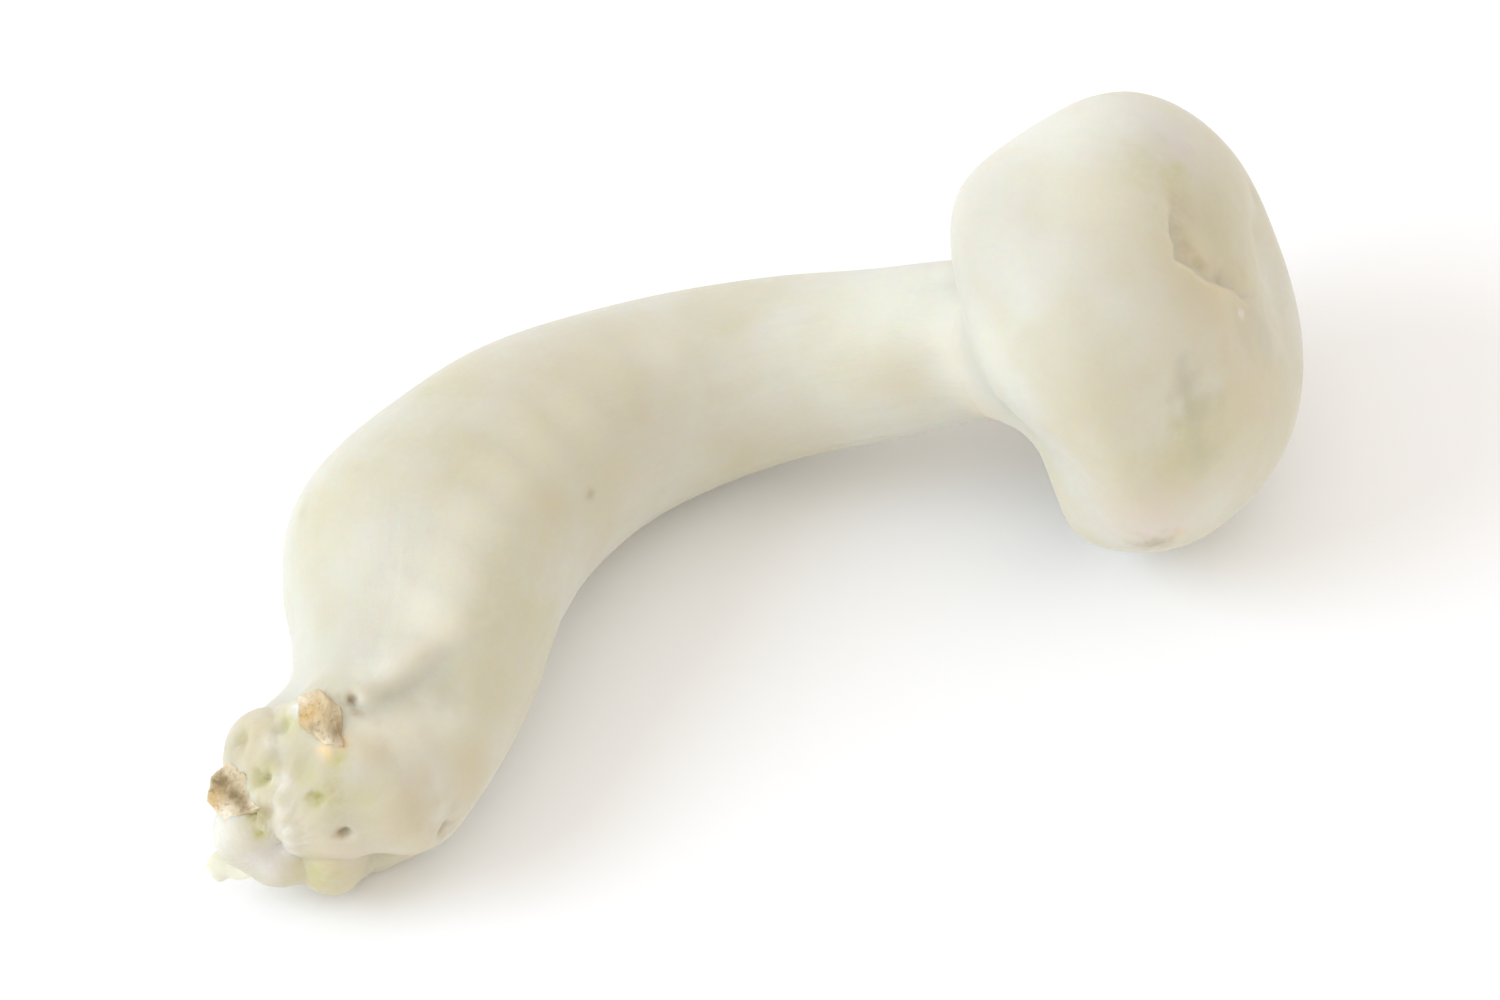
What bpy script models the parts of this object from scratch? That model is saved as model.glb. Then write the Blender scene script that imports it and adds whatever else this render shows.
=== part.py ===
"""One white beech mushroom, as picked, lying on its side: a domed cap with gills under it, a curved swollen
stem with a torn, knobbly foot, and the crumbs of growing medium that stay caught in that foot.
Metres, +Z up. The origin is the middle of the bottom of the mushroom's box, on the surface it lies on."""

import math

import bmesh
import bpy
import numpy as np
from mathutils import Euler, Vector, noise

MM = 0.001                      # the sizes below are in millimetres
CAP_SIDES = 120                 # steps round the cap: four for each gill
STEM_SIDES = 44
END_RINGS = 11                  # rings over the rounded end of the foot
FOOT_RINGS = 13                 # rings over the lumps and the ankle
STEM_RINGS = 33                 # rings from there to the neck

# Cap: a turned profile about its own axis. Heights run along the axis from the margin up to the crown, and
# directions run round it in degrees, from its highest side towards its -Y side.
CAP_CENTRE = (15.7, 3.05, 9.7)  # middle of the margin's plane
CAP_RISE = 24.0                 # degrees that the cap's axis points up
CAP_TURN = -11.0                # degrees that it turns from +X
CAP_RADIUS = 11.8
CAP_HEIGHT = 12.0
MARGIN_RADIUS = 10.4            # lowest edge of the rolled-in margin
LIP_RADIUS = 9.4                # where the margin has curled under and the gills begin
SOCKET_RADIUS = 4.5             # where the gills meet the stem
SOCKET_CEILING = 3.3
DOME_FOOT = 5.0                 # the profile's points above this height are all on the dome
GILLS = CAP_SIDES // 4
GILL_HEIGHT = 1.7
CAP_OUTLINE = [                 # radius, height: crown to margin to the ceiling over the stem
    (0.0, CAP_HEIGHT), (2.4, 11.9), (4.8, 11.5), (7.0, 10.7), (8.9, 9.4), (10.4, 7.7), (11.4, 5.8),
    (CAP_RADIUS, 3.9), (11.6, 2.1), (11.1, 0.7), (MARGIN_RADIUS, 0.0), (LIP_RADIUS, 1.0),
    (8.7, 2.6), (7.6, 3.4), (6.3, 3.7), (5.2, 3.6), (SOCKET_RADIUS, SOCKET_CEILING), (0.0, SOCKET_CEILING),
]
MARGIN_LOBES = [                # the margin's uneven places: direction, width, outward and upward change
    (90.0, 25.0, -1.7, 0.9), (8.0, 24.0, 0.6, -1.0), (-36.0, 20.0, -0.9, 0.0),
]
LOBE_REACH = 4.2                # height over which they fade into the dome
SHOULDER = (-52.0, 36.0, 0.6)   # a fuller side of the dome: direction, width, outward change
SHOULDER_HEIGHT = 8.5
SHOULDER_REACH = 3.5
LEAN = 0.75                     # how far the crown leans to one side
LEAN_TO = 134.0                 # the direction it leans in
DENT_MIDDLE = (1.0, -1.4)       # the sunken middle of the crown, off the axis upward and sideways
DENT_RADIUS = 6.0
DENT_OVAL = 0.2                 # share by which it is longer one way than the other
DENT_DEPTH = 0.55

# Stem: stations from the torn foot to just under the cap: middle line x, y, z and radius.
STEM_STATIONS = [
    (-22.0, -24.9, 5.1, 4.45), (-20.4, -23.5, 5.2, 5.45), (-18.0, -19.7, 5.5, 5.6), (-16.95, -16.1, 6.0, 6.25),
    (-16.7, -12.6, 6.8, 7.05), (-16.1, -9.6, 7.15, 7.35), (-13.7, -5.6, 6.6, 6.75), (-10.7, -2.0, 6.1, 6.25),
    (-6.9, 1.1, 5.4, 5.6), (-2.4, 3.1, 5.4, 5.1), (2.2, 3.8, 6.2, 4.7), (6.7, 3.5, 7.5, 4.4),
    (10.4, 3.35, 8.6, 4.2),
]
NECK_RADIUS = 4.15              # where the stem stands in the cap's socket
NECK_START = -1.5               # along the cap's axis, just outside its margin
SOCKET_DEPTH = 2.7              # how far the stem's end stands inside the margin's plane
FOOT_ROUND = 2.4                # length over which the torn end rounds off
NECK_ROUND = 0.5
TURN_REACH = 4.0                # length over which the stem's rings turn together, so that they never cross

# The torn foot. Lumps swell out of it, as seen from a point in the stem's middle line: x, y, z and radius.
FOOT_MIDDLE = 4.0               # that point's distance from the foot's end
FOOT_REACH = 12.0               # length of stem that the lumps, the fold and the roughness reach
FOOT_LUMPS = [
    (-24.2, -21.2, 6.3, 2.0), (-25.5, -23.9, 5.6, 1.7), (-25.3, -25.4, 4.6, 1.75), (-24.1, -25.8, 3.4, 1.9),
    (-21.0, -25.5, 2.7, 2.1), (-21.6, -24.6, 7.0, 2.2),
]
LUMP_BLEND = 0.3                # how softly the lumps run into one another
ROUGHNESS = 0.3                 # height of the unevenness over the torn foot
ROUGH_SCALE = 0.75              # its waves per mm
ROUGH_REACH = 6.0               # length of stem over which it fades out
FLAKE = ((-26.0, -26.1, 2.9), (1.2, 0.75, 0.3))  # thin torn flake: middle and half sizes
PITS = [                        # small hollows in the torn end: middle and radius
    (-24.1, -23.9, 7.0, 0.55), (-24.4, -25.5, 6.1, 0.5), (-21.5, -26.0, 8.1, 0.5), (-20.2, -26.1, 5.1, 0.5),
]

# The fold where the swollen belly hangs over the ankle. The surface steps down along a line and runs out again.
FOLD_START = (-19.7, -22.0, 10.4)
FOLD_END = (-13.6, -16.2, 12.0)
FOLD_DEPTH = 0.9
FOLD_STEP = 0.12                # softness of the step
FOLD_RUN_OUT = 3.0              # how far the hollow under it reaches
FOLD_MIDDLE = 0.4               # its deepest place, as a share of the line
FOLD_SPREAD = 0.42              # how fast it fades to the line's ends, as a share of the line
FOLD_FLOOR = 7.0                # nothing below this height belongs to it

# Crumbs of growing medium: name, middle, half sizes, and turn in degrees about the three axes.
CRUMBS = [
    ("crumb_upper", (-21.2, -23.0, 9.95), (1.0, 1.5, 0.9), (25.0, -20.0, 12.0)),
    ("crumb_left", (-26.2, -24.2, 6.4), (0.75, 1.15, 0.75), (10.0, 35.0, -20.0)),
]
POCKET_EXTRA = 0.42             # added to a crumb's half sizes for its pocket: leaves 0.3 mm clear


def clear_scene():
    for obj in list(bpy.data.objects):
        bpy.data.objects.remove(obj)


def collection(name):
    made = bpy.data.collections.new(name)
    bpy.context.scene.collection.children.link(made)
    return made


def finish(name, colour, roughness):
    """A plain dielectric finish."""
    material = bpy.data.materials.new(name)
    material.use_nodes = True
    shader = material.node_tree.nodes["Principled BSDF"]
    shader.inputs["Base Color"].default_value = (*colour, 1.0)
    shader.inputs["Roughness"].default_value = roughness
    shader.inputs["Metallic"].default_value = 0.0
    return material


def smooth_curve(points, per_span=24):
    """A Catmull-Rom curve through the points, as an array of close samples."""
    given = np.array(points, float)
    padded = np.vstack([2 * given[0] - given[1], given, 2 * given[-1] - given[-2]])
    steps = np.linspace(0.0, 1.0, per_span, endpoint=False)[:, None]
    spans = []
    for a, b, c, d in zip(padded, padded[1:], padded[2:], padded[3:]):
        spans.append(0.5 * (2 * b + (c - a) * steps + (2 * a - 5 * b + 4 * c - d) * steps ** 2
                            + (3 * b - a - 3 * c + d) * steps ** 3))
    return np.vstack([*spans, given[-1:]])


def lengths_along(samples):
    return np.concatenate([[0.0], np.cumsum(np.linalg.norm(np.diff(samples, axis=0), axis=1))])


def turned(outline, steps):
    """A bmesh turned from an outline of (radius, height) points about Z, closed at both ends on the axis."""
    made = bmesh.new()
    corners = [made.verts.new((radius, 0.0, height)) for radius, height in outline]
    edges = [made.edges.new(pair) for pair in zip(corners, corners[1:])]
    bmesh.ops.spin(made, geom=corners + edges, cent=(0, 0, 0), axis=(0, 0, 1), angle=math.tau, steps=steps,
                   use_merge=True)
    bmesh.ops.remove_doubles(made, verts=made.verts, dist=1e-6)
    return made


def solid_object(name, made, material, home):
    bmesh.ops.recalc_face_normals(made, faces=made.faces)
    mesh = bpy.data.meshes.new(name)
    made.to_mesh(mesh)
    made.free()
    if material:
        mesh.materials.append(material)
    mesh.shade_smooth()
    obj = bpy.data.objects.new(name, mesh)
    home.objects.link(obj)
    return obj


def bump(value, middle, width):
    return math.exp(-((value - middle) / width) ** 2)


def angle_bump(angle, middle, width):
    """A soft bump round one direction, all in degrees."""
    apart = (angle - middle + 180.0) % 360.0 - 180.0
    return math.exp(-(apart / width) ** 2)


def cap_frame():
    """The cap's axis, the highest direction in its margin's plane, and the direction beside that."""
    rise, turn = math.radians(CAP_RISE), math.radians(CAP_TURN)
    axis = Vector((math.cos(rise) * math.cos(turn), math.cos(rise) * math.sin(turn), math.sin(rise)))
    up = (Vector((0, 0, 1)) - axis * axis.z).normalized()
    return axis, up, axis.cross(up)


def gill_lift(radius, height, angle):
    """How far the underside hangs down into a gill's edge. Only the underside has gills."""
    if height > DOME_FOOT or not SOCKET_RADIUS < radius < LIP_RADIUS:
        return 0.0
    share = (radius - SOCKET_RADIUS) / (LIP_RADIUS - SOCKET_RADIUS)
    return GILL_HEIGHT * math.sin(math.pi * share) ** 0.6 * (0.5 + 0.5 * math.cos(GILLS * angle))


def crown_dent(x, y, height):
    """How far the slightly sunken middle of the crown lies below the dome."""
    if height < DOME_FOOT:
        return 0.0
    x, y = x - DENT_MIDDLE[0], y - DENT_MIDDLE[1]
    edge = DENT_RADIUS * (1.0 + DENT_OVAL * math.cos(2.0 * math.atan2(y, x) + 1.0))
    return DENT_DEPTH * math.exp(-(math.hypot(x, y) / edge) ** 6)


def cap_point(radius, height, angle):
    """A turned point with the gills, the margin's uneven places, the lean and the dent put in."""
    degrees = math.degrees(angle)
    height -= gill_lift(radius, height, angle)
    if radius > SOCKET_RADIUS:
        margin = bump(max(height, 0.0), 0.0, LOBE_REACH)
        for middle, width, outward, upward in MARGIN_LOBES:
            share = margin * angle_bump(degrees, middle, width)
            radius += share * outward
            height += share * upward
    middle, width, outward = SHOULDER
    radius += outward * bump(height, SHOULDER_HEIGHT, SHOULDER_REACH) * angle_bump(degrees, middle, width)
    lean = LEAN * (max(height, 0.0) / CAP_HEIGHT) ** 2
    x = radius * math.cos(angle) + lean * math.cos(math.radians(LEAN_TO))
    y = radius * math.sin(angle) + lean * math.sin(math.radians(LEAN_TO))
    return x, y, height - crown_dent(x, y, height)


def make_cap(home, material):
    axis, up, side = cap_frame()
    centre = Vector(CAP_CENTRE)
    made = turned(CAP_OUTLINE, CAP_SIDES)
    for vert in made.verts:
        radius, angle = math.hypot(vert.co.x, vert.co.y), math.atan2(vert.co.y, vert.co.x)
        x, y, height = cap_point(radius, vert.co.z, angle)
        vert.co = (centre + axis * height + up * x + side * y) * MM
    return solid_object("cap", made, material, home)


def stem_line():
    """Close samples of the stem from foot to neck: x, y, z and radius. It ends inside the cap."""
    axis = cap_frame()[0]
    inside = [(*(Vector(CAP_CENTRE) + axis * s), NECK_RADIUS) for s in (NECK_START, SOCKET_DEPTH)]
    return smooth_curve(STEM_STATIONS + inside)


def even_tangents(line, along):
    """The line's direction at each sample, averaged over a stretch of it."""
    tangents = np.gradient(line, along, axis=0)
    return np.array([np.exp(-((along - here) / TURN_REACH) ** 2) @ tangents for here in along])


def rounding(distance, reach):
    """Share of the full radius at this distance from an end that rounds off over reach."""
    return math.sqrt(max(0.0, 1.0 - (1.0 - min(distance / reach, 1.0)) ** 2))


def stem_outline(along, radii):
    """The straightened stem's profile, as (radius, height) points: rounded foot, ankle, stem and neck."""
    end = along[-1]
    rounded = FOOT_ROUND * (1.0 - np.cos(np.linspace(0.0, math.pi / 2, END_RINGS)))
    foot = np.linspace(FOOT_ROUND, FOOT_REACH, FOOT_RINGS + 1)[1:]
    rest = np.linspace(FOOT_REACH, end - NECK_ROUND, STEM_RINGS + 1)[1:]
    outline = []
    for height in [*rounded, *foot, *rest, end - 0.2 * NECK_ROUND, end]:
        radius = np.interp(height, along, radii) * rounding(height, FOOT_ROUND)
        outline.append((float(radius * rounding(end - height, NECK_ROUND) ** 0.3), float(height)))
    return outline


def swell(point, middle):
    """A foot point pushed out, as seen from the foot's middle, to the surface of the lumps it meets."""
    way = (point - middle).normalized()
    reaches = [(point - middle).length]
    for *lump, radius in FOOT_LUMPS:
        offset = Vector(lump) - middle
        ahead = way.dot(offset)
        inside = radius ** 2 - offset.length_squared + ahead ** 2
        if inside > 0.0 and ahead > 0.0:
            reaches.append(ahead + math.sqrt(inside))
    top = max(reaches)
    blended = top + LUMP_BLEND * math.log(sum(math.exp((reach - top) / LUMP_BLEND) for reach in reaches))
    return middle + way * blended


def fold_drop(point):
    """How far the surface lies lower under the belly's fold. It is 0 on the belly's own side."""
    start = Vector(FOLD_START)
    run = Vector(FOLD_END) - start
    down = run.cross(Vector((0, 0, 1))).normalized()
    share = (point - start).dot(run) / run.length_squared
    off = (point - start).dot(down)
    if point.z < FOLD_FLOOR:
        return 0.0
    step = 1.0 / (1.0 + math.exp(-off / FOLD_STEP))
    return (FOLD_DEPTH * bump(share, FOLD_MIDDLE, FOLD_SPREAD) * step
            * bump(max(off, 0.0), 0.0, FOLD_RUN_OUT))


def foot_point(point, height, middle):
    """A point of the plain foot, this far along the stem, with its lumps, unevenness and fold put in."""
    point = swell(point, middle)
    way = (point - middle).normalized()
    uneven = ROUGHNESS * noise.fractal(point * ROUGH_SCALE, 1.0, 2.0, 2) * bump(height, 0.0, ROUGH_REACH)
    return point + way * (uneven - fold_drop(point))


def make_stem(home, material):
    samples = stem_line()
    line = samples[:, :3]
    along = lengths_along(line)
    tangents = even_tangents(line, along)

    def read(values, height):
        return Vector([np.interp(height, along, values[:, k]) for k in range(3)])

    made = turned(stem_outline(along, samples[:, 3]), STEM_SIDES)
    for vert in made.verts:
        height = vert.co.z
        tangent = read(tangents, height).normalized()
        up = (Vector((0, 0, 1)) - tangent * tangent.z).normalized()
        point = read(line, height) + up * vert.co.x + tangent.cross(up) * vert.co.y
        if height < FOOT_REACH:
            point = foot_point(point, height, read(line, max(height, FOOT_MIDDLE)))
        vert.co = point * MM
    return solid_object("stem", made, material, home)


def cutter(obj):
    obj.hide_render = True
    obj.display_type = "WIRE"
    return obj


def ball(name, middle, sizes, home):
    """An uneven ball or flake, to be joined to the stem or cut from it."""
    made = bmesh.new()
    bmesh.ops.create_icosphere(made, subdivisions=2, radius=1.0)
    for vert in made.verts:
        uneven = 1.0 + 0.15 * noise.noise(vert.co * 1.3 + Vector(middle))
        reach = Vector([size * part for size, part in zip(sizes, vert.co)])
        vert.co = (Vector(middle) + reach * uneven) * MM
    return cutter(solid_object(name, made, None, home))


def chip(name, middle, sizes, turns, extra, material, home):
    """An angular crumb, or with extra on each half size the pocket that it lies in."""
    made = bmesh.new()
    bmesh.ops.create_icosphere(made, subdivisions=1, radius=1.0)
    turn = Euler([math.radians(degrees) for degrees in turns]).to_matrix()
    for vert in made.verts:
        uneven = 1.0 + 0.2 * noise.noise(vert.co * 2.1 + Vector(middle))
        reach = Vector([(size + extra) * part for size, part in zip(sizes, vert.co)])
        vert.co = (Vector(middle) + turn @ reach * uneven) * MM
    obj = solid_object(name, made, material, home)
    obj.data.shade_flat()
    return obj


def resting_surface(home):
    """A slab whose top is the surface that the mushroom lies on: the flesh is pressed flat there."""
    made = bmesh.new()
    bmesh.ops.create_cube(made, size=1.0)
    bmesh.ops.scale(made, vec=(100 * MM, 100 * MM, 10 * MM), verts=made.verts)
    bmesh.ops.translate(made, vec=(0.0, 0.0, -5 * MM), verts=made.verts)
    return cutter(solid_object("surface", made, None, home))


def boolean(obj, operation, others):
    modifier = obj.modifiers.new(operation.lower(), "BOOLEAN")
    modifier.operation = operation
    modifier.operand_type = "COLLECTION"
    modifier.collection = others


def rest_on_origin(solids):
    """Moves everything so that the solids' box has the middle of its bottom at the origin."""
    bpy.context.view_layer.update()
    graph = bpy.context.evaluated_depsgraph_get()
    corners = np.array([corner for obj in solids for corner in obj.evaluated_get(graph).bound_box])
    low, high = corners.min(axis=0), corners.max(axis=0)
    for obj in bpy.data.objects:
        obj.location = (-(low[0] + high[0]) / 2, -(low[1] + high[1]) / 2, -low[2])


def main():
    clear_scene()
    home = collection("white_beech_mushroom")
    additions, hollows, surface = collection("foot_additions"), collection("foot_hollows"), collection("rest")
    cap = make_cap(home, finish("cap_flesh", (0.86, 0.82, 0.70), 0.45))
    stem = make_stem(home, finish("stem_flesh", (0.85, 0.81, 0.69), 0.5))
    medium = finish("growing_medium", (0.45, 0.30, 0.14), 0.8)
    ball("flake", *FLAKE, additions)
    for number, (*middle, radius) in enumerate(PITS, 1):
        ball(f"pit_{number}", middle, (radius, radius, radius), hollows)
    crumbs = []
    for name, middle, sizes, turns in CRUMBS:
        crumbs.append(chip(name, middle, sizes, turns, 0.0, medium, home))
        cutter(chip(f"{name}_pocket", middle, sizes, turns, POCKET_EXTRA, None, hollows))
    resting_surface(surface)
    boolean(stem, "UNION", additions)
    boolean(stem, "DIFFERENCE", hollows)
    for obj in (stem, cap):
        boolean(obj, "DIFFERENCE", surface)
    rest_on_origin([cap, stem, *crumbs])


main()
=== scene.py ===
"""A white beech mushroom, as picked, lying on its side on a pale floor: cream-white flesh, gills under the
cap, and a torn foot with crumbs of growing medium caught in it."""

import math

import bmesh
import bpy
import numpy as np
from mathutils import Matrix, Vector, noise
from mathutils.bvhtree import BVHTree


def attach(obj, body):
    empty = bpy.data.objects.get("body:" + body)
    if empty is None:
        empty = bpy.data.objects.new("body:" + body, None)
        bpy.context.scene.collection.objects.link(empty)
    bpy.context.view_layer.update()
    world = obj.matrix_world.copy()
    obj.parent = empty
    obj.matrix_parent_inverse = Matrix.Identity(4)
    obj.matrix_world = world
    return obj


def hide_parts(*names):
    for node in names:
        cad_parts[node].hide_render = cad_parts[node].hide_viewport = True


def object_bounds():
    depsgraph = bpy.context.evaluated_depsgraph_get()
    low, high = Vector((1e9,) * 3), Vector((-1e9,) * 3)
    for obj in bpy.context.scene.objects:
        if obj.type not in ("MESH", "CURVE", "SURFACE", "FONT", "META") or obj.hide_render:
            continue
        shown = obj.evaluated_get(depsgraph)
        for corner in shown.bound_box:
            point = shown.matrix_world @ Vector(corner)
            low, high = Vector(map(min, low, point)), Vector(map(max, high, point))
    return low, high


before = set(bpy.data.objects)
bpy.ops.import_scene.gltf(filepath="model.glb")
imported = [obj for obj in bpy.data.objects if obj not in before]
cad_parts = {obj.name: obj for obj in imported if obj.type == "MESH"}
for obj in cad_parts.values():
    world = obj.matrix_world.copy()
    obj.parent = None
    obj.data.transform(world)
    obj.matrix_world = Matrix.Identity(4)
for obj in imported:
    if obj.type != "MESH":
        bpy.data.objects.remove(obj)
CAD_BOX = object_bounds()

MM = 0.001  # sizes are in millimetres, in the frame that the mushroom is drawn in
SHIFT = np.array((-0.626, 6.812, 0.0))  # from there to the part's frame
LOW, HIGH = (np.array(corner) / MM - SHIFT for corner in CAD_BOX)
UPWARD = np.array((0.0, 0.0, 1.0))
TINY = 1e-9  # the least length that a vector is divided by
SPAN_SAMPLES = 24  # samples of a curve from each of its points to the next

# The cap's place and main shape, most of which the part's source has too
CAP_CENTRE = np.array((15.7, 3.05, 9.7))  # middle of the margin's plane
CAP_RISE = 24.0  # degrees that the cap's axis points up
CAP_TURN = -11.0  # degrees that it turns from +X
CAP_HEIGHT = 12.0
MARGIN_LOBES = [  # uneven places: direction, width, outward and upward change
    (90.0, 25.0, -1.7, 0.9), (8.0, 24.0, 0.6, -1.0), (-36.0, 20.0, -0.5, 0.0), (130.0, 14.0, 0.0, -0.3),
]
LOBE_REACH = 4.2  # height over which they fade into the dome
FLESH_STARTS = (4.4, 8.5)  # they fade in between these radii
SHOULDERS = [  # fuller sides of the dome: direction, width, height, reach, outward change
    (-52.0, 36.0, 8.5, 3.5, 0.6), (-50.0, 30.0, 5.0, 2.2, 0.12), (3.0, 13.0, 0.0, 2.2, 0.45),
]
LEAN = 0.75  # how far the crown leans to one side
LEAN_TO = 134.0  # the direction it leans in
DOME_FOOT = (5.0, 7.0)  # the crown's dents and creases fade in between these heights
DENT_MIDDLE = (1.0, -1.4)  # the sunken middle of the crown, off the axis upward and sideways
DENT_RADIUS = 6.0
DENT_OVAL = 0.2  # share by which it is longer one way than the other
DENT_PHASE = 1.0  # turns its longer way, in radians
DENT_EDGE = 6  # how sharply its edge falls
DENT_DEPTH = 0.55

# The cap's skin
CAP_SIDES = 480
CAP_RINGS = 180
DOME = [  # radius and height of the crown and dome, which are the same all round
    (0.0, 12.0), (2.4, 11.9), (4.8, 11.5), (7.0, 10.7), (8.9, 9.4), (10.4, 7.7), (11.4, 5.8),
]
# The rest of the outline, down into the stem: where the margin is free and rolled in over the gills, where it
# just reaches the stem, and where it has stayed closed and runs out over it. The third number, where it is 1,
# counts the radius from the stem's surface.
OPEN = [
    (11.8, 3.9, 0), (11.6, 2.1, 0), (11.1, 0.75, 0), (10.4, 0.05, 0), (9.7, 0.35, 0), (9.3, 1.4, 0),
    (8.9, 2.9, 0), (8.0, 4.3, 0), (6.5, 5.0, 0), (5.0, 4.9, 0), (-0.4, 4.0, 1), (-0.7, 1.0, 1),
    (-1.5, -4.5, 1), (0.0, -6.0, 0),
]
HALF_SHUT = [
    (11.75, 3.9, 0), (11.6, 2.4, 0), (11.1, 1.0, 0), (10.3, 0.15, 0), (9.2, -0.3, 0), (8.0, -0.5, 0),
    (6.8, -0.5, 0), (5.6, -0.4, 0), (0.0, -0.2, 1), (-0.4, 0.1, 1), (-0.7, 0.1, 1), (-0.9, -1.0, 1),
    (-1.5, -4.8, 1), (0.0, -6.0, 0),
]
SHUT = [
    (11.6, 3.9, 0), (11.25, 2.4, 0), (10.5, 1.0, 0), (9.5, -0.1, 0), (8.2, -1.05, 0), (6.9, -1.75, 0),
    (5.9, -2.2, 0), (0.7, -2.6, 1), (0.0, -2.95, 1), (-0.5, -3.15, 1), (-0.9, -3.5, 1), (-1.2, -4.2, 1),
    (-1.5, -5.1, 1), (0.0, -6.0, 0),
]
HALF_SHUT_FROM = (-82.0, -54.0)  # directions, in degrees, between which the margin half closes,
SHUT_FROM = (-12.0, 44.0)  # closes for the rest,
SHUT_TO = (90.0, 144.0)  # and opens again
PLUG = [(4.0, 4.0), (4.0, 1.0), (4.0, -4.5), (4.0, -6.0)]  # a plain hidden end, for spacing the rings
MARGIN_CLOSE = (15.0, 20.0)  # between these lengths of the outline the rings lie closer together,
MARGIN_EXTRA = 4.0  # as if it were longer by this
HIDDEN_FROM = 26.0  # from this length on they lie wider apart,
HIDDEN_LESS = 0.6  # as if it were shorter by this share
ROOT_STARTS = 8.6  # place in the outline where the skin has gone inside the stem
OUTSIDE = 0.9  # a ring is outside the stem where this share of it is shown

# The crown's fine relief, in places up and sideways from the axis
CROWN_CREASES = [  # lines on the crown, with their width and depth
    ([(3.9, 7.2), (2.1, 8.2), (0.2, 8.9), (-1.7, 9.3)], 0.5, 0.18),
]
CREASE_SAMPLES = 8  # samples of a crease's curve from each point to the next
CREASE_FULL = 0.3  # a crease as deep as this is shaded in full
CREASE_WANDER = 0.35
CREASE_SHADE = 0.45  # strength of the shade in creases
CROWN_HOLLOWS = [  # softer hollows and hills: place, reach and depth, less than 0 for a hill
    (1.6, 3.4, 2.0, 0.2), (1.2, 7.9, 1.6, 0.13), (-1.5, -3.2, 3.6, 0.6), (-6.0, 6.2, 3.5, 0.45),
    (0.6, -4.4, 0.8, 0.14), (2.2, -5.6, 1.2, -0.16), (8.6, -3.8, 1.8, -0.12), (4.4, -0.6, 1.3, -0.12),
    (0.9, -6.8, 0.8, 0.2), (-1.5, -6.5, 3.0, 0.15),
]
LOBE_MIDDLE = (4.2, -0.9)  # a lobe of the crown
LOBE_EDGE = [  # the fold round it: direction in degrees, distance and depth
    (-10.0, 3.9, 0.0), (20.0, 3.85, 0.2), (41.0, 4.3, 0.3), (55.0, 4.9, 0.3), (66.0, 4.0, 0.25),
    (98.0, 2.85, 0.32), (130.0, 2.7, 0.26), (160.0, 3.2, 0.16), (186.0, 5.0, 0.0),
]
LOBE_SIDES = (1.1, 0.34)  # widths of the fold's soft side, towards the lobe, and of its sharp side
LOBE_SHADED = (0.5, 0.15)  # widths of the shade on these sides
LOBE_FULL = 0.36  # a fold as deep as this is shaded in full
LOBE_WANDER = 0.4

# The gills
GILLS = 66  # long gills, with a short one between each two
GILL_POINTS = (16, 6)  # points along a gill and down it
GILL_FROM = 4.35  # radius at which a long gill leaves the stem
SHORT_GILL_FROM = 6.3  # radius at which a short one starts,
SHORT_GILL_WANDER = 0.5  # give or take this
GILL_TO = 9.5
GILL_TOP = 5.1  # the gills' upper edges run inside the flesh
GILL_DEPTH = 2.5
SHORT_GILL_DEPTH = 0.8  # a short gill's depth as a share of a long one's
GILL_BELLY = (0.12, 0.8, 0.6)  # the free edge follows a sine: its start, its share of half a turn, its power
GILL_THICKNESS = 0.24
GILL_EDGE = 0.09  # thickness of the free edge
GILL_WAVE = 0.16  # height of the free edge's waves to either side
GILL_WAVE_TURN = 2.1  # radians of wave for each millimetre of gill
GILL_UNEVEN = 0.05  # share by which depths differ, and millimetres by which gills stand aside
GILL_TURNS = {"start": 12.9, "depth": 7.7, "wave": 5.3, "aside": 3.7}  # radians that tell gill from gill
GILLS_STOP = 0.12  # share of closing at which the gills end

# The stem: x, y, z and radius along its middle, from the torn foot to the cap
STEM_STATIONS = [
    (-22.0, -24.9, 5.1, 4.45), (-20.4, -23.5, 5.2, 5.45), (-18.0, -19.7, 5.5, 5.6),
    (-16.95, -16.1, 6.0, 6.25), (-16.7, -12.6, 6.8, 7.05), (-16.1, -9.6, 7.15, 7.35),
    (-13.7, -5.6, 6.6, 6.75), (-10.7, -2.0, 6.1, 6.25),
    (-6.9, 1.1, 5.4, 5.6), (-2.4, 3.1, 5.4, 5.1), (2.2, 3.8, 6.2, 4.7), (6.7, 3.5, 7.5, 4.4),
    (10.4, 3.35, 8.6, 4.2),
]
NECK_RADIUS = 4.15
NECK_START = -1.5  # along the cap's axis, just outside its margin
NECK_END = 4.6  # the neck runs on into the cap's flesh
FOOT_ROUND = 2.4  # length over which the torn end rounds off
NECK_ROUND = 0.5  # length over which the neck's hidden end rounds off,
NECK_BLUNT = 0.3  # and how bluntly: less is blunter
TURN_REACH = 4.0  # length over which the stem's rings turn together, so that they never cross
STEM_SIDES = 300
END_RINGS = 44  # rings over the foot's round end,
FOOT_RINGS = 120  # over the rest of the foot,
STEM_RINGS = 150  # and from there to the neck's end
FIRST_RING = 0.03  # how far the first ring has turned from the foot's tip, in radians
LAST_RINGS = (0.6, 0.3, 0.1, 0.0)  # the last rings' places before the neck's end, as shares of NECK_ROUND
GRAIN_RADIUS = 5.0  # the fibres follow a straight bar of this radius, bent to the stem
TORN_REACH = 4.5  # the torn end's flesh is dry as far as this along the stem
TORN_DRYNESS = 0.65

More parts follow.
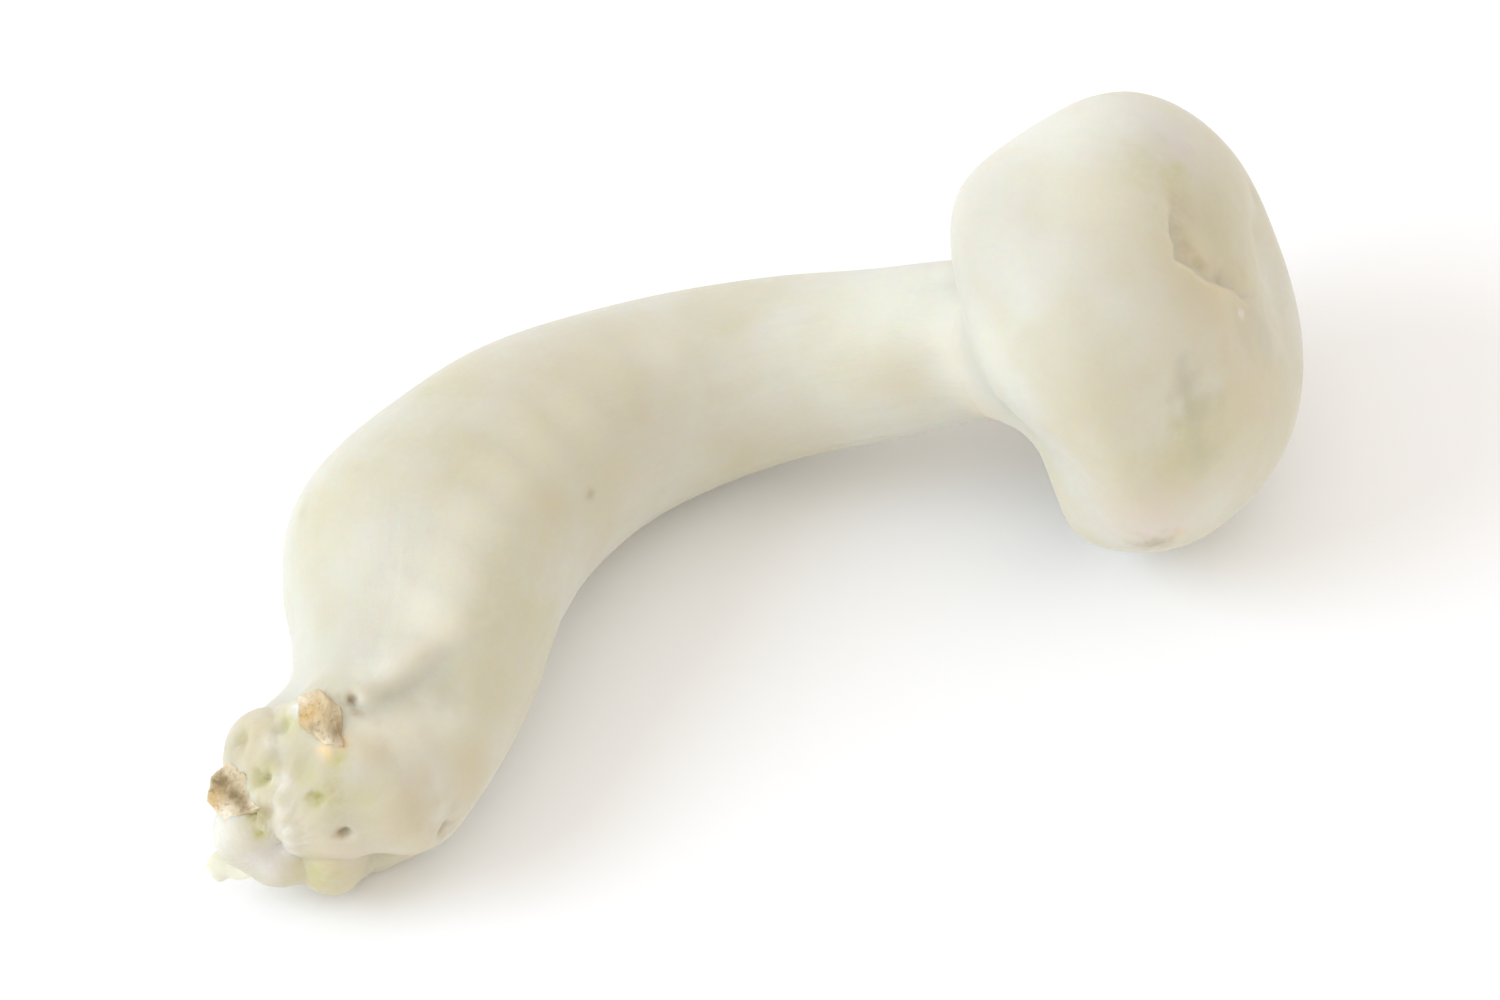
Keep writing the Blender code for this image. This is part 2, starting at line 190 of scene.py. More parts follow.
# The torn foot
FOOT_MIDDLE = 4.0  # its relief is pushed out from this far along the stem's middle
FOOT_REACH = 15.0  # length of stem that the relief reaches
FOOT_FILL = [(-23.5, -24.4, 4.9, 4.2, 2.4)]  # fuller places: x, y, z, reach, height
FOOT_LUMPS = [  # round knobs: x, y, z and radius
    (-24.45, -22.3, 6.85, 2.3), (-25.15, -25.5, 4.6, 2.1), (-23.85, -25.75, 3.2, 2.1),
    (-20.6, -25.75, 2.4, 2.25), (-24.0, -23.9, 6.7, 1.8),
]
LUMP_BLEND = 0.45  # how softly the knobs run into one another
LUMP_WANDER = 0.12  # how uneven their edges are
KNOB_ROOT = 0.4  # how deep the knobs' sides run into the foot
FOOT_HILLS = [  # softer relief: x, y, z, reach and height, less than 0 for a hollow
    (-18.0, -26.2, 2.6, 1.9, -2.5), (-18.3, -26.6, 1.3, 1.2, -0.9), (-23.35, -19.85, 8.8, 1.6, -0.85),
    (-24.4, -20.9, 8.6, 0.7, 0.2), (-23.28, -25.75, 7.7, 0.55, 0.4), (-23.1, -26.3, 6.8, 0.55, 0.42),
    (-23.0, -26.8, 5.9, 0.55, 0.42), (-22.9, -27.0, 5.0, 0.6, 0.36), (-20.9, -24.6, 10.2, 0.6, 0.3),
    (-22.6, -22.3, 9.8, 0.7, 0.25), (-18.2, -23.6, 10.0, 1.3, 0.25), (-16.6, -22.6, 9.6, 1.8, 0.2),
    (-18.5, -25.2, 9.2, 1.2, -0.15), (-26.3, -25.0, 6.0, 0.7, 0.3), (-25.9, -26.6, 4.4, 0.8, 0.25),
    (-23.75, -25.3, 7.1, 0.45, 0.25), (-20.6, -27.2, 5.6, 1.2, 0.2), (-19.6, -26.6, 7.4, 1.2, -0.15),
    (-22.4, -25.2, 8.9, 0.8, -0.2), (-21.3, -26.4, 7.0, 0.9, 0.2), (-23.9, -25.6, 5.7, 0.9, 0.5),
    (-24.1, -24.9, 7.2, 0.8, 0.45),
]
FOOT_PITS = [  # small pits: x, y, z, reach and depth
    (-23.98, -24.6, 7.7, 0.42, 0.6), (-24.69, -25.53, 5.75, 0.45, 0.5), (-24.61, -26.1, 5.3, 0.28, 0.35),
    (-21.47, -25.96, 7.97, 0.4, 0.45), (-20.25, -27.17, 6.52, 0.32, 0.5), (-23.14, -22.6, 9.7, 0.4, 0.35),
    (-25.31, -22.6, 8.3, 0.6, 0.35), (-19.77, -22.11, 10.56, 0.42, 0.5), (-15.6, -25.7, 5.2, 0.5, 0.3),
]
PIT_WANDER = 0.6  # how uneven a pit's edge is,
PIT_RANGE = (0.6, 1.7)  # within these bounds
ROUGHNESS = 0.16
FINE_ROUGHNESS = 0.12
ROUGH_MIDDLE = (-24.3, -24.8, 6.5)
ROUGH_REACH = 3.8
FOLD_START = np.array((-19.5, -22.2, 10.4))  # the line under the belly's fold
FOLD_END = np.array((-12.9, -16.9, 12.0))
FOLD_DEPTH = 1.35
FOLD_STEP = 0.27  # softness of the step
FOLD_STEP_END = 60.0  # the step is complete this many softnesses away from the line
FOLD_RUN_OUT = 2.4  # how far the hollow under it reaches
FOLD_MIDDLE = 0.4  # its deepest place, as a share of the line
FOLD_SPREAD = 0.42  # how fast it fades to the line's ends, as a share of the line
FOLD_FLOOR = (6.0, 9.5)  # the fold fades out between these heights

# Where cap and stem have grown together
JOIN_MIDDLE = -3.0  # along the cap's axis
JOIN_ZONE = 11.0
JOIN_CURVES = [  # direction, and how far from the join the skins' hollow curve starts
    (-90.0, 1.2), (-50.0, 1.0), (-12.0, 2.0), (20.0, 3.4), (62.0, 3.4), (92.0, 2.0), (115.0, 1.3),
    (270.0, 1.2),
]
JOIN_OPENING = 0.6  # 1 where the skins meet at a right angle, less where the corner is wider
JOIN_NEAREST = 0.25 * JOIN_OPENING  # share of the curve's length at which the two skins meet
JOIN_REACH = 0.9  # within this distance of the join, light doesn't sink into the flesh
JOIN_POWER = 1.5  # how fast the join's painted warm light fades
JOIN_TINT = 0.3  # and how strong it is

# The crumbs of growing medium: corners of each chip, and a place in the foot that its root points to
CRUMB_UPPER = [
    (-22.5, -21.7, 10.6), (-21.5, -21.4, 10.9), (-20.35, -22.6, 11.05), (-20.9, -22.6, 11.35),
    (-21.75, -23.9, 11.0), (-21.2, -24.6, 10.8), (-20.2, -24.8, 10.65), (-22.45, -23.3, 10.6),
]
CRUMB_UPPER_ROOT = (-20.0, -23.0, 5.2)
CRUMB_LEFT = [
    (-26.0, -23.5, 7.7), (-26.9, -23.9, 7.0), (-27.1, -24.9, 6.3), (-26.2, -25.8, 5.9), (-24.3, -25.8, 7.0),
    (-25.2, -24.5, 8.0),
]
CRUMB_LEFT_ROOT = (-21.0, -23.5, 5.2)
CRUMB_ROOT = 1.3  # the chips' hidden corners lie this far inside the foot
CRUMB_CUTS = 14
CRUMB_RUN = (0, 4)  # the fibres run between these two corners
CRUMB_STRETCH = 0.75  # share by which the noise moves slower along the fibres
CRUMB_GRAIN = 0.045  # height of the fibres
FIBRE_NOISE = (3.2, 4, 0.9)  # waves in a millimetre, octaves and smoothness
LUMP_SHARE = 0.5  # height of the lumps among the fibres, as a share of theirs
CRUMB_LUMPS = (1.3, 2, 1.0)  # waves in a millimetre, octaves and smoothness
CRUMB_SHARP = 28.0  # degrees from which an edge is shaded as sharp

# A thin torn flake at the foot's lower left
FLAKE = np.array((-25.75, -26.1, 2.7))
FLAKE_SIZE = (1.5, 0.9, 0.22)  # half sizes across, up the view and through
FLAKE_GRID = (40, 96)
FLAKE_WAVES = (0.25, 2.3, 1.0)  # slow waves of the edge: height, turn and phase
FLAKE_TEETH = (0.12, 7.0)  # quick waves: height and turn
FLAKE_BEND = (0.25, 0.2)  # how far it bends out across and in upwards
FLAKE_ROUGHNESS = 0.06

# Noises: waves in a millimetre, octaves, and how far off the noise is read
CREASE_NOISE = (0.6, 3, 0.0)
LOBE_NOISE = (0.55, 2, 20.0)
ROUGH_NOISE = (0.5, 3, 0.0)
FINE_NOISE = (1.4, 3, 7.0)
PIT_NOISE = (1.3, 2, 60.0)
LUMP_NOISE = (0.35, 2, 80.0)
FLAKE_NOISE = (1.6, 3, 0.0)
MARK_NOISE = (0.9, 3, 40.0)

# Marks by kind, of stain and of painted light and shade: x, y, z, reach and strength
STEM_MARKS = {
    # bloom: painted light, whitening the neck beside the cap's rim and the belly's lit edges along the fold
    "painted_cool_light": [(9.8, 4.6, 12.6, 1.6, 0.5), (7.5, 3.0, 12.4, 4.5, 0.46), (-14.9, -22.0, 9.5, 1.7, 0.4),
        (-18.1, -20.2, 11.0, 0.9, 0.5), (-19.4, -21.9, 10.5, 0.6, 0.4), (-15.9, -17.3, 12.0, 1.5, 0.4)],
    # ivory: painted light along the belly's lit ridge and on the band below its fold
    "painted_warm_light": [(-17.7, -23.4, 9.8, 1.4, 0.45), (-19.0, -23.6, 10.2, 1.0, 0.4),
        (-15.3, -18.1, 11.6, 1.4, 0.5), (-16.9, -19.2, 10.7, 1.5, 0.5), (-16.5, -17.4, 12.1, 1.8, 0.5),
        (-15.0, -15.2, 12.9, 2.0, 0.45), (-14.0, -12.8, 13.6, 2.0, 0.45), (-12.5, -9.8, 13.5, 2.0, 0.45),
        (-11.0, -6.7, 12.7, 2.0, 0.42), (-9.1, -4.1, 12.0, 1.9, 0.4), (-7.3, -1.2, 11.4, 1.9, 0.35),
        (-5.0, 1.0, 10.7, 1.6, 0.25)],
    # tan: a yellower, darker tone of the flesh, partly painted shade on the sides turned from the lamp
    "tan_and_shade": [(-9.6, -10.4, 11.2, 2.4, 0.4), (-14.6, -2.6, 12.2, 2.2, 0.25), (-19.4, -26.1, 8.8, 1.9, 0.95),
        (-1.2, -0.6, 7.4, 3.0, 0.25), (-24.5, -22.7, 8.8, 1.7, 0.9), (-22.0, -24.8, 9.2, 1.8, 0.9),
        (8.0, -0.6, 10.0, 1.9, 0.4), (-17.8, -25.5, 7.3, 2.6, 0.3), (-19.8, -26.9, 7.2, 2.0, 0.9),
        (-19.0, -25.4, 10.1, 1.5, 0.8), (-13.9, -23.6, 6.6, 2.4, 0.7), (-24.2, -25.9, 6.7, 0.9, 1.0),
        (-23.2, -24.4, 8.9, 1.1, 0.9), (-17.6, -26.8, 7.6, 2.4, 0.9), (-8.0, -3.5, 10.5, 6.0, 0.35),
        (-21.5, -26.5, 5.0, 4.6, 0.7), (-25.0, -23.0, 8.0, 2.4, 0.9)],
    # shade: painted shade under the belly's fold, in the foot's hollows and on its knobs
    "shade": [(-25.3, -22.7, 8.2, 0.8, 0.9), (-19.9, -17.9, 11.05, 3.0, 0.3),
        (-18.1, -22.1, 10.2, 0.9, 0.4), (-16.8, -21.4, 10.0, 1.1, 0.5), (-18.9, -22.5, 10.3, 0.8, 0.5),
        (-15.4, -20.5, 9.9, 1.2, 0.75), (-14.4, -19.5, 10.2, 1.1, 0.15), (-19.5, -26.1, 8.8, 1.5, 0.85),
        (-22.52, -9.89, 11.08, 0.5, 0.6), (-24.9, -22.9, 8.3, 0.7, 0.9), (-23.3, -22.9, 9.4, 0.7, 0.8),
        (-22.1, -24.7, 9.2, 1.1, 0.9), (-23.2, -24.3, 8.9, 0.8, 0.8), (-25.9, -22.8, 7.7, 0.8, 0.9),
        (-17.8, -26.8, 7.8, 1.9, 0.4), (-19.9, -26.9, 7.2, 1.5, 0.8), (-25.7, -22.7, 8.0, 1.0, 1.0),
        (-20.5, -25.7, 8.9, 1.3, 0.8), (-19.5, -26.6, 6.5, 2.5, 0.4), (-17.7, -21.8, 10.3, 1.0, 0.4)],
    "lilac": [(-19.6, -25.6, 9.4, 1.2, 0.35), (-23.9, -26.6, 4.6, 1.2, 0.6)],
    "rosy": [(-20.4, -26.8, 4.8, 1.2, 0.5), (-23.3, -25.0, 8.3, 0.45, 0.8)],
    "olive": [(-23.98, -24.6, 7.7, 0.6, 1.0), (-24.3, -24.2, 7.9, 0.5, 0.6),
        (-24.69, -25.53, 5.75, 0.62, 0.95), (-24.61, -26.1, 5.3, 0.4, 0.9),
        (-21.47, -25.96, 7.97, 0.5, 0.95), (-23.1, -22.7, 9.8, 0.55, 0.75), (-25.31, -22.6, 8.3, 0.6, 0.3),
        (-20.4, -25.3, 10.1, 0.6, 0.7), (-21.4, -27.3, 3.6, 1.3, 0.6), (-20.6, -27.3, 3.2, 1.6, 0.25),
        (-21.0, -26.8, 2.2, 1.4, 0.3), (-16.0, -4.0, 12.6, 2.6, 0.2), (-22.0, -25.2, 8.8, 0.9, 0.45),
        (-23.6, -24.9, 8.0, 0.9, 0.5), (-13.0, -19.5, 9.5, 2.6, 0.12), (-22.2, -10.5, 11.2, 3.5, 0.12),
        (-25.1, -22.6, 8.4, 0.6, 0.55), (-22.8, -23.1, 10.0, 0.6, 0.5), (-11.9, -15.2, 11.0, 3.2, 0.2),
        (-17.0, -8.0, 13.0, 6.0, 0.13), (-21.0, -14.0, 10.0, 4.0, 0.1), (-21.0, -26.1, 8.5, 1.2, 0.5),
        (-19.4, -26.4, 8.6, 1.2, 0.35)],
    "brown": [(-24.69, -25.53, 5.75, 0.35, 0.6), (-24.2, -25.3, 6.3, 0.4, 0.4),
        (-24.0, -24.6, 7.6, 0.25, 0.6), (-20.25, -27.17, 6.52, 0.36, 0.85),
        (-19.8, -21.9, 10.6, 0.35, 0.8), (-19.65, -22.6, 10.5, 0.35, 0.6), (-25.0, -23.0, 8.3, 0.6, 0.3),
        (-8.05, -7.67, 9.61, 0.3, 0.4), (-15.6, -25.7, 5.2, 0.8, 0.45), (-24.9, -24.3, 7.2, 0.4, 0.5),
        (-24.2, -25.9, 6.7, 0.45, 0.5), (-20.9, -26.1, 8.5, 0.7, 0.2)],
    # orange: an orange rim under the upper chip, partly a painted highlight along its lit edge
    "orange": [(-21.2, -24.95, 10.4, 0.4, 0.8), (-20.4, -24.7, 10.6, 0.4, 0.5)],
    "pale": [(-23.3, -25.3, 8.1, 0.5, 0.4), (-23.2, -26.0, 7.2, 0.5, 0.3), (-23.0, -26.6, 6.4, 0.5, 0.4),
        (-23.0, -26.9, 5.6, 0.5, 0.4), (-22.9, -27.1, 4.8, 0.5, 0.3), (-22.4, -22.1, 10.6, 0.5, 0.9),
        (-26.4, -25.9, 5.3, 0.9, 0.3), (-23.9, -23.4, 8.9, 0.5, 0.25), (-24.3, -27.3, 4.0, 0.8, 0.35)],
}
CAP_MARKS = {
    # bloom: painted light on the cap's top and left, the sides towards the lamp
    "painted_cool_light": [(16.0, 6.6, 21.4, 4.8, 0.42), (18.6, 6.6, 21.8, 2.6, 0.35), (17.6, -3.8, 20.5, 4.2, 0.1),
        (12.2, -3.8, 16.2, 2.4, 0.35)],
    # ivory: painted light on the crown's top
    "painted_warm_light": [(17.5, 1.0, 22.0, 3.0, 0.3)],
    # tan: a yellower tone, and painted shade on the crown's side turned from the lamp
    "tan_and_shade": [(25.6, -2.6, 13.0, 4.0, 0.7), (24.2, 0.4, 17.0, 5.3, 0.95), (18.4, -7.9, 16.0, 3.0, 0.3),
        (19.5, -9.5, 11.0, 3.5, 0.5)],
    # shade: painted shade on the crown's side turned from the lamp and beside its folds
    "shade": [(22.0, 0.0, 20.2, 1.4, 0.3), (24.3, 0.2, 16.7, 1.0, 0.6), (24.9, 0.7, 15.6, 0.9, 0.6),
        (26.0, -0.1, 13.5, 1.6, 0.8), (25.6, 0.3, 14.5, 1.2, 0.7), (22.0, -6.1, 16.3, 0.9, 0.8),
        (22.4, -6.7, 15.0, 1.0, 0.8), (22.8, -7.6, 12.7, 1.1, 0.5), (11.6, 0.3, 20.0, 2.8, 0.25),
        (25.0, -1.5, 14.8, 2.2, 0.5), (23.8, 2.6, 18.2, 3.4, 0.75)],
    "lilac": [(21.6, 6.2, 20.6, 2.2, 0.5)],
    "rosy": [(20.2, -9.0, 8.6, 2.2, 0.4)],
    "olive": [(21.3, 3.2, 21.0, 1.8, 0.35), (21.6, 3.9, 20.9, 1.1, 0.4), (20.2, 3.6, 21.5, 2.0, 0.25),
        (22.0, -7.3, 13.6, 2.4, 0.3), (19.5, -8.3, 14.0, 2.4, 0.15), (22.7, 0.7, 19.3, 2.4, 0.15),
        (23.4, 3.0, 18.9, 3.0, 0.2)],
    "brown": [(22.0, 1.8, 20.6, 0.9, 0.15), (21.9, -0.3, 20.2, 0.6, 0.3), (21.5, 0.7, 20.5, 0.6, 0.25),
        (22.7, -0.7, 19.3, 0.5, 0.35), (23.8, -0.4, 17.7, 0.5, 0.35), (20.6, -8.0, 6.2, 0.9, 0.6)],
    "orange": [(21.9, -8.3, 6.9, 0.6, 0.2)],
    "pale": [(24.9, -0.75, 15.6, 0.3, 0.4)],
}
UPPER_MARKS = {
    "rust": [(-22.0, -22.9, 10.8, 0.85, 1.0)],
    "bark": [(-20.5, -24.2, 10.8, 0.55, 0.7), (-21.7, -23.9, 10.8, 0.35, 0.6),
        (-20.6, -23.3, 11.1, 0.3, 0.5)],
    "ash": [(-21.1, -24.8, 10.5, 0.4, 0.9), (-22.5, -21.8, 10.6, 0.5, 1.0)],
}
LEFT_MARKS = {
    "rust": [(-26.6, -24.9, 6.5, 0.6, 0.9)],
    "bark": [(-26.6, -24.1, 7.1, 0.45, 1.0), (-26.3, -24.4, 7.15, 0.45, 1.0),
        (-26.0, -24.7, 7.15, 0.45, 1.0), (-25.7, -25.05, 7.05, 0.45, 1.0), (-25.4, -25.35, 6.9, 0.4, 1.0),
        (-25.1, -25.6, 6.7, 0.35, 0.9)],
    "ash": [(-26.1, -25.6, 6.1, 0.45, 1.0), (-24.6, -25.6, 7.1, 0.35, 0.6)],
}
SMALL_MARK = 1.0  # a mark with less reach than this is moved onto the surface
MARK_WANDER = 0.6  # how uneven the edges of the smallest marks are,
MARK_RANGE = (0.55, 1.8)  # within these bounds

# Colours
PALE = (0.668, 0.657, 0.578)
CREAM = (0.64, 0.612, 0.492)
FLAKE_PALE = (0.90, 0.89, 0.74)
GILL_PALE = (0.72, 0.67, 0.55)
GILL_CREAM = (0.66, 0.59, 0.43)
STAIN_AND_LIGHT_COLOURS = {  # marks of stain and of painted light and shade, laid over one another in this order
    "painted_cool_light": (0.88, 0.905, 0.84), "painted_warm_light": (0.84, 0.81, 0.68), "tan_and_shade": (0.60, 0.52, 0.34),
    "shade": (0.55, 0.51, 0.40), "lilac": (0.62, 0.585, 0.575), "rosy": (0.72, 0.60, 0.54),
    "olive": (0.52, 0.49, 0.20), "brown": (0.36, 0.27, 0.15), "orange": (0.85, 0.60, 0.32),
    "pale": (0.90, 0.90, 0.88),
}
SOFT_KINDS = ("painted_cool_light", "painted_warm_light", "tan_and_shade", "shade", "lilac")  # the others are ragged
RAGGED_RANGE = 0.6  # the ragged cover's strength goes up by this
RAGGED_LEAST = 0.55  # from this
JOIN_PAINTED_LIGHT = (0.84, 0.73, 0.55)  # painted warm light, filling the seam's shade where light doesn't sink in
CHIP_COLOURS = {"rust": (0.60, 0.41, 0.17), "bark": (0.26, 0.18, 0.08), "ash": (0.86, 0.76, 0.60)}
CHIP_DARK = (0.54, 0.43, 0.26)
CHIP_LIGHT = (0.68, 0.57, 0.38)
CHIP_SPECKS = (0.30, 0.20, 0.10)
FLOOR_WHITE = (0.97, 0.97, 0.97)

# Textures: noise waves in a millimetre, the noise's range that is spread from 0 to 1, and detail
TEXTURES = {
    "clouds": (0.14, 0.38, 0.62, 2.0), "olive clouds": (0.32, 0.52, 0.7, 3.0),
    "mottling": (1.7, 0.3, 0.7, 4.0), "fine relief": (3.2, 0.3, 0.7, 5.0),
    "fibres": (1.0, 0.35, 0.65, 4.0), "gloss": (0.8, 0.3, 0.7, 3.0),
    "ragged": (2.4, 0.25, 0.6, 4.0), "ragged chips": (2.8, 0.25, 0.6, 4.0), "streaks": (1.6, 0.35, 0.62, 4.0),
    "specks": (5.0, 0.58, 0.68, 3.0),
}
NOISE_ROUGHNESS = 0.55
OLIVE_STRETCH = (1.0, 1.0, 0.8)  # how fast each texture moves along x, y and z
FIBRE_STRETCH = (1.3, 1.3, 0.11)
STREAK_STRETCH = (1.0, 0.35, 1.0)
OLIVE_SHARE = 0.07  # strengths of the textures in the flesh's colour
MOTTLING_SHARE = 0.06
FIBRE_SHARE = 0.09
SPECK_SHARE = 0.2  # and in the chips'
FINE_RELIEF = 0.5  # height of the fine relief, as a share of the fibres'
FLESH_BUMP = {"Strength": 0.25, "Distance": 0.00008}
CHIP_BUMP = {"Strength": 0.6, "Distance": 0.0001}

# Gloss, and how light sinks in; distances in metres
FLESH_GLOSS = {"To Min": 0.42, "To Max": 0.56}
CHIP_GLOSS = {"To Min": 0.6, "To Max": 0.85}
DRY_ROUGHNESS = 0.45  # added where the flesh is dry
FLOOR_ROUGHNESS = 0.9
SPECULAR = 0.4
SCATTER = (1.0, 0.6, 0.32)
SCATTER_SCALE = 0.0015
GILL_GLOW = 0.4  # share of the light that sinks into the gills
CHIP_GLOW = 0.25
CHIP_SCATTER_SCALE = 0.0004

# Floor, lights and camera, in metres
FLOOR_SIZE = 3.0
FILL_COLOUR = (1.03, 0.99, 0.955, 1.0)
FILL_STRENGTH = 0.93
KEY_SIZE = 0.55
KEY_POWER = 3.1
KEY_COLOUR = (0.69, 0.83, 1.0)
KEY_PLACE = (-0.62, -0.13, 0.42)
VIEW_RISE = 50.0  # degrees above the horizon
VIEW_DISTANCE = 0.6
VIEW_WIDTH = 0.0775  # width of the frame at the mushroom
SENSOR_WIDTH = 36.0  # in millimetres
CLIP_START = 0.01


def smooth_curve(points, per_span=SPAN_SAMPLES):
    """A Catmull-Rom curve through the points, as an array of close samples."""
    given = np.array(points, float)
    padded = np.concatenate([2 * given[:1] - given[1:2], given, 2 * given[-1:] - given[-2:-1]])
    steps = np.linspace(0.0, 1.0, per_span, endpoint=False).reshape((-1,) + (1,) * (given.ndim - 1))
    spans = []
    for a, b, c, d in zip(padded, padded[1:], padded[2:], padded[3:]):
        spans.append(0.5 * (2 * b + (c - a) * steps + (2 * a - 5 * b + 4 * c - d) * steps ** 2
                            + (3 * b - a - 3 * c + d) * steps ** 3))
    return np.concatenate([*spans, given[-1:]])


def lengths_along(samples):
    """Length along a line of samples from its start to each of them."""
    return np.concatenate([[0.0], np.cumsum(np.linalg.norm(np.diff(samples, axis=0), axis=1))])


def read_along(vectors, along, places):
    """Vectors given at lengths along a line, read at other places on it."""
    return np.stack([np.interp(places, along, vectors[:, k]) for k in range(3)], axis=-1)


def bump(value, middle, width):
    return np.exp(-((value - middle) / width) ** 2)


def angle_bump(angle, middle, width):
    apart = (angle - middle + 180.0) % 360.0 - 180.0
    return np.exp(-(apart / width) ** 2)


def smooth_step(value, low, high):
    share = np.clip((value - low) / (high - low), 0.0, 1.0)
    return share * share * (3.0 - 2.0 * share)


def unit(vectors):
    return vectors / np.maximum(np.linalg.norm(vectors, axis=-1, keepdims=True), TINY)


def distance(points, place):
    return np.linalg.norm(points - place, axis=-1)


def nearest(points, place):
    flat = points.reshape(-1, 3)
    return flat[np.argmin(distance(flat, place))]


def turned(degrees):
    """The same directions, counted from -90 to 270 degrees."""
    return (degrees + 90.0) % 360.0 - 90.0


def noise_at(place, scale, octaves, smoothness=1.0):
    """Fractal noise at one place, with each octave twice as fine as the one before."""
    return noise.fractal(Vector(place * scale), smoothness, 2.0, octaves)


def fractal(points, scale, octaves, offset):
    """Fractal noise at each of the points."""
    flat = points.reshape(-1, 3) * scale + offset
    return np.array([noise_at(point, 1.0, octaves) for point in flat]).reshape(points.shape[:-1])


def line_distance(points, corners):
    """Distance from each point to a chain of straight lines, in as many dimensions as both have."""
    corners = np.array(corners, float)
    best = np.full(points.shape[:-1], np.inf)
    for start, end in zip(corners, corners[1:]):
        run = end - start
        share = np.clip((points - start) @ run / (run @ run), 0.0, 1.0)
        best = np.minimum(best, np.linalg.norm(points - start - share[..., None] * run, axis=-1))
    return best


def cap_frame():
    """The cap's axis, the highest direction in its margin's plane, and the direction beside that."""
    rise, turn = math.radians(CAP_RISE), math.radians(CAP_TURN)
    axis = np.array((math.cos(rise) * math.cos(turn), math.cos(rise) * math.sin(turn), math.sin(rise)))
    up = unit(UPWARD - axis * axis[2])
    return axis, up, np.cross(axis, up)


AXIS, UP, SIDE = cap_frame()


def on_cap(x, y, height):
    """Points of the cap from its own frame: x to its highest side, y beside that, height along the axis."""
    return CAP_CENTRE + AXIS * height[..., None] + UP * x[..., None] + SIDE * y[..., None]


def shut_share(degrees):
    """How far the margin has closed in these directions, from 0 to 1."""
    degrees = turned(degrees)
    closed = 0.5 * smooth_step(degrees, *HALF_SHUT_FROM) + 0.5 * smooth_step(degrees, *SHUT_FROM)
    return closed * (1.0 - smooth_step(degrees, *SHUT_TO))


def margin_shape(radius, height, degrees):
    """The margin's uneven places and the fuller sides of the dome, put into a turned point."""
    margin = bump(np.maximum(height, 0.0), 0.0, LOBE_REACH) * smooth_step(radius, *FLESH_STARTS)
    outward, upward = 0.0, 0.0
    for middle, width, out, lift in MARGIN_LOBES:
        share = margin * angle_bump(degrees, middle, width)
        outward = outward + share * out
        upward = upward + share * lift
    for middle, width, level, reach, out in SHOULDERS:
        outward = outward + out * bump(height, level, reach) * angle_bump(degrees, middle, width)
    return radius + outward, height + upward


def crown_dent(x, y, over):
    """How far the sunken middle of the crown lies below the dome."""
    from_x, from_y = x - DENT_MIDDLE[0], y - DENT_MIDDLE[1]
    edge = DENT_RADIUS * (1.0 + DENT_OVAL * np.cos(2.0 * np.arctan2(from_y, from_x) + DENT_PHASE))
    dent = DENT_DEPTH * np.exp(-(np.hypot(from_x, from_y) / edge) ** DENT_EDGE)
    return over * dent


def crown_creases(x, y, over):
    """How much lower the crown is for its creases, fold and hollows, and the mask of the shade in them."""
    places = np.stack([x, y], axis=-1)
    level = np.stack([x, y, np.zeros_like(x)], axis=-1)
    wander = 1.0 + CREASE_WANDER * fractal(level, *CREASE_NOISE)
    mask, depth = 0.0, 0.0
    for corners, width, deep in CROWN_CREASES:
        near = over * bump(line_distance(places, smooth_curve(corners, CREASE_SAMPLES)), 0.0, width * wander)
        mask = np.maximum(mask, near * min(deep / CREASE_FULL, 1.0))
        depth = np.maximum(depth, near * deep)
    directions, distances, depths = np.array(LOBE_EDGE).T
    away_x, away_y = x - LOBE_MIDDLE[0], y - LOBE_MIDDLE[1]
    direction = turned(np.degrees(np.arctan2(away_y, away_x)))
    off = np.hypot(away_x, away_y) - np.interp(direction, directions, distances)
    off = off - LOBE_WANDER * fractal(level, *LOBE_NOISE)
    deep = np.interp(direction, directions, depths) * over
    mask = np.maximum(mask, deep / LOBE_FULL * bump(off, 0.0, np.where(off < 0.0, *LOBE_SHADED)))
    depth = np.maximum(depth, deep * bump(off, 0.0, np.where(off < 0.0, *LOBE_SIDES)))
    for middle_x, middle_y, reach, deep in CROWN_HOLLOWS:
        depth = depth + over * deep * bump(np.hypot(x - middle_x, y - middle_y), 0.0, reach)
    return depth, mask


def neck_radii(stem_tree, angles, heights):
    """Distance from the cap's axis to the stem's surface at each height and direction."""
    radii = np.full((len(heights), len(angles)), NECK_RADIUS)
    for row, height in enumerate(heights):
        for column, angle in enumerate(angles):
            way = UP * math.cos(angle) + SIDE * math.sin(angle)
            hit = stem_tree.ray_cast(Vector(CAP_CENTRE + AXIS * height), Vector(way))
            if hit[0]:
                radii[row, column] = hit[3]
    return radii


def around_stem(outline, stem_tree, angles):
    """The dome's outline with this rest, in every direction."""
    rows = np.array([(*point, 0.0) for point in DOME] + outline, float)
    neck = neck_radii(stem_tree, angles, rows[:, 1])
    radius = rows[:, :1] + neck * rows[:, 2:]
    return smooth_curve(np.stack([radius, rows[:, 1:2] * np.ones_like(radius)], axis=-1))


def cap_ring_places():
    """Where in the outline's samples the cap's rings lie: closer together round the margin."""
    along = lengths_along(smooth_curve(DOME + [point[:2] for point in OPEN[:-1] if not point[2]] + PLUG))
    dense = (along + MARGIN_EXTRA * smooth_step(along, *MARGIN_CLOSE)
             - HIDDEN_LESS * (along - HIDDEN_FROM) * (along > HIDDEN_FROM))
    return np.interp(np.linspace(0.0, dense[-1], CAP_RINGS + 2)[1:-1], dense, np.arange(len(along)))


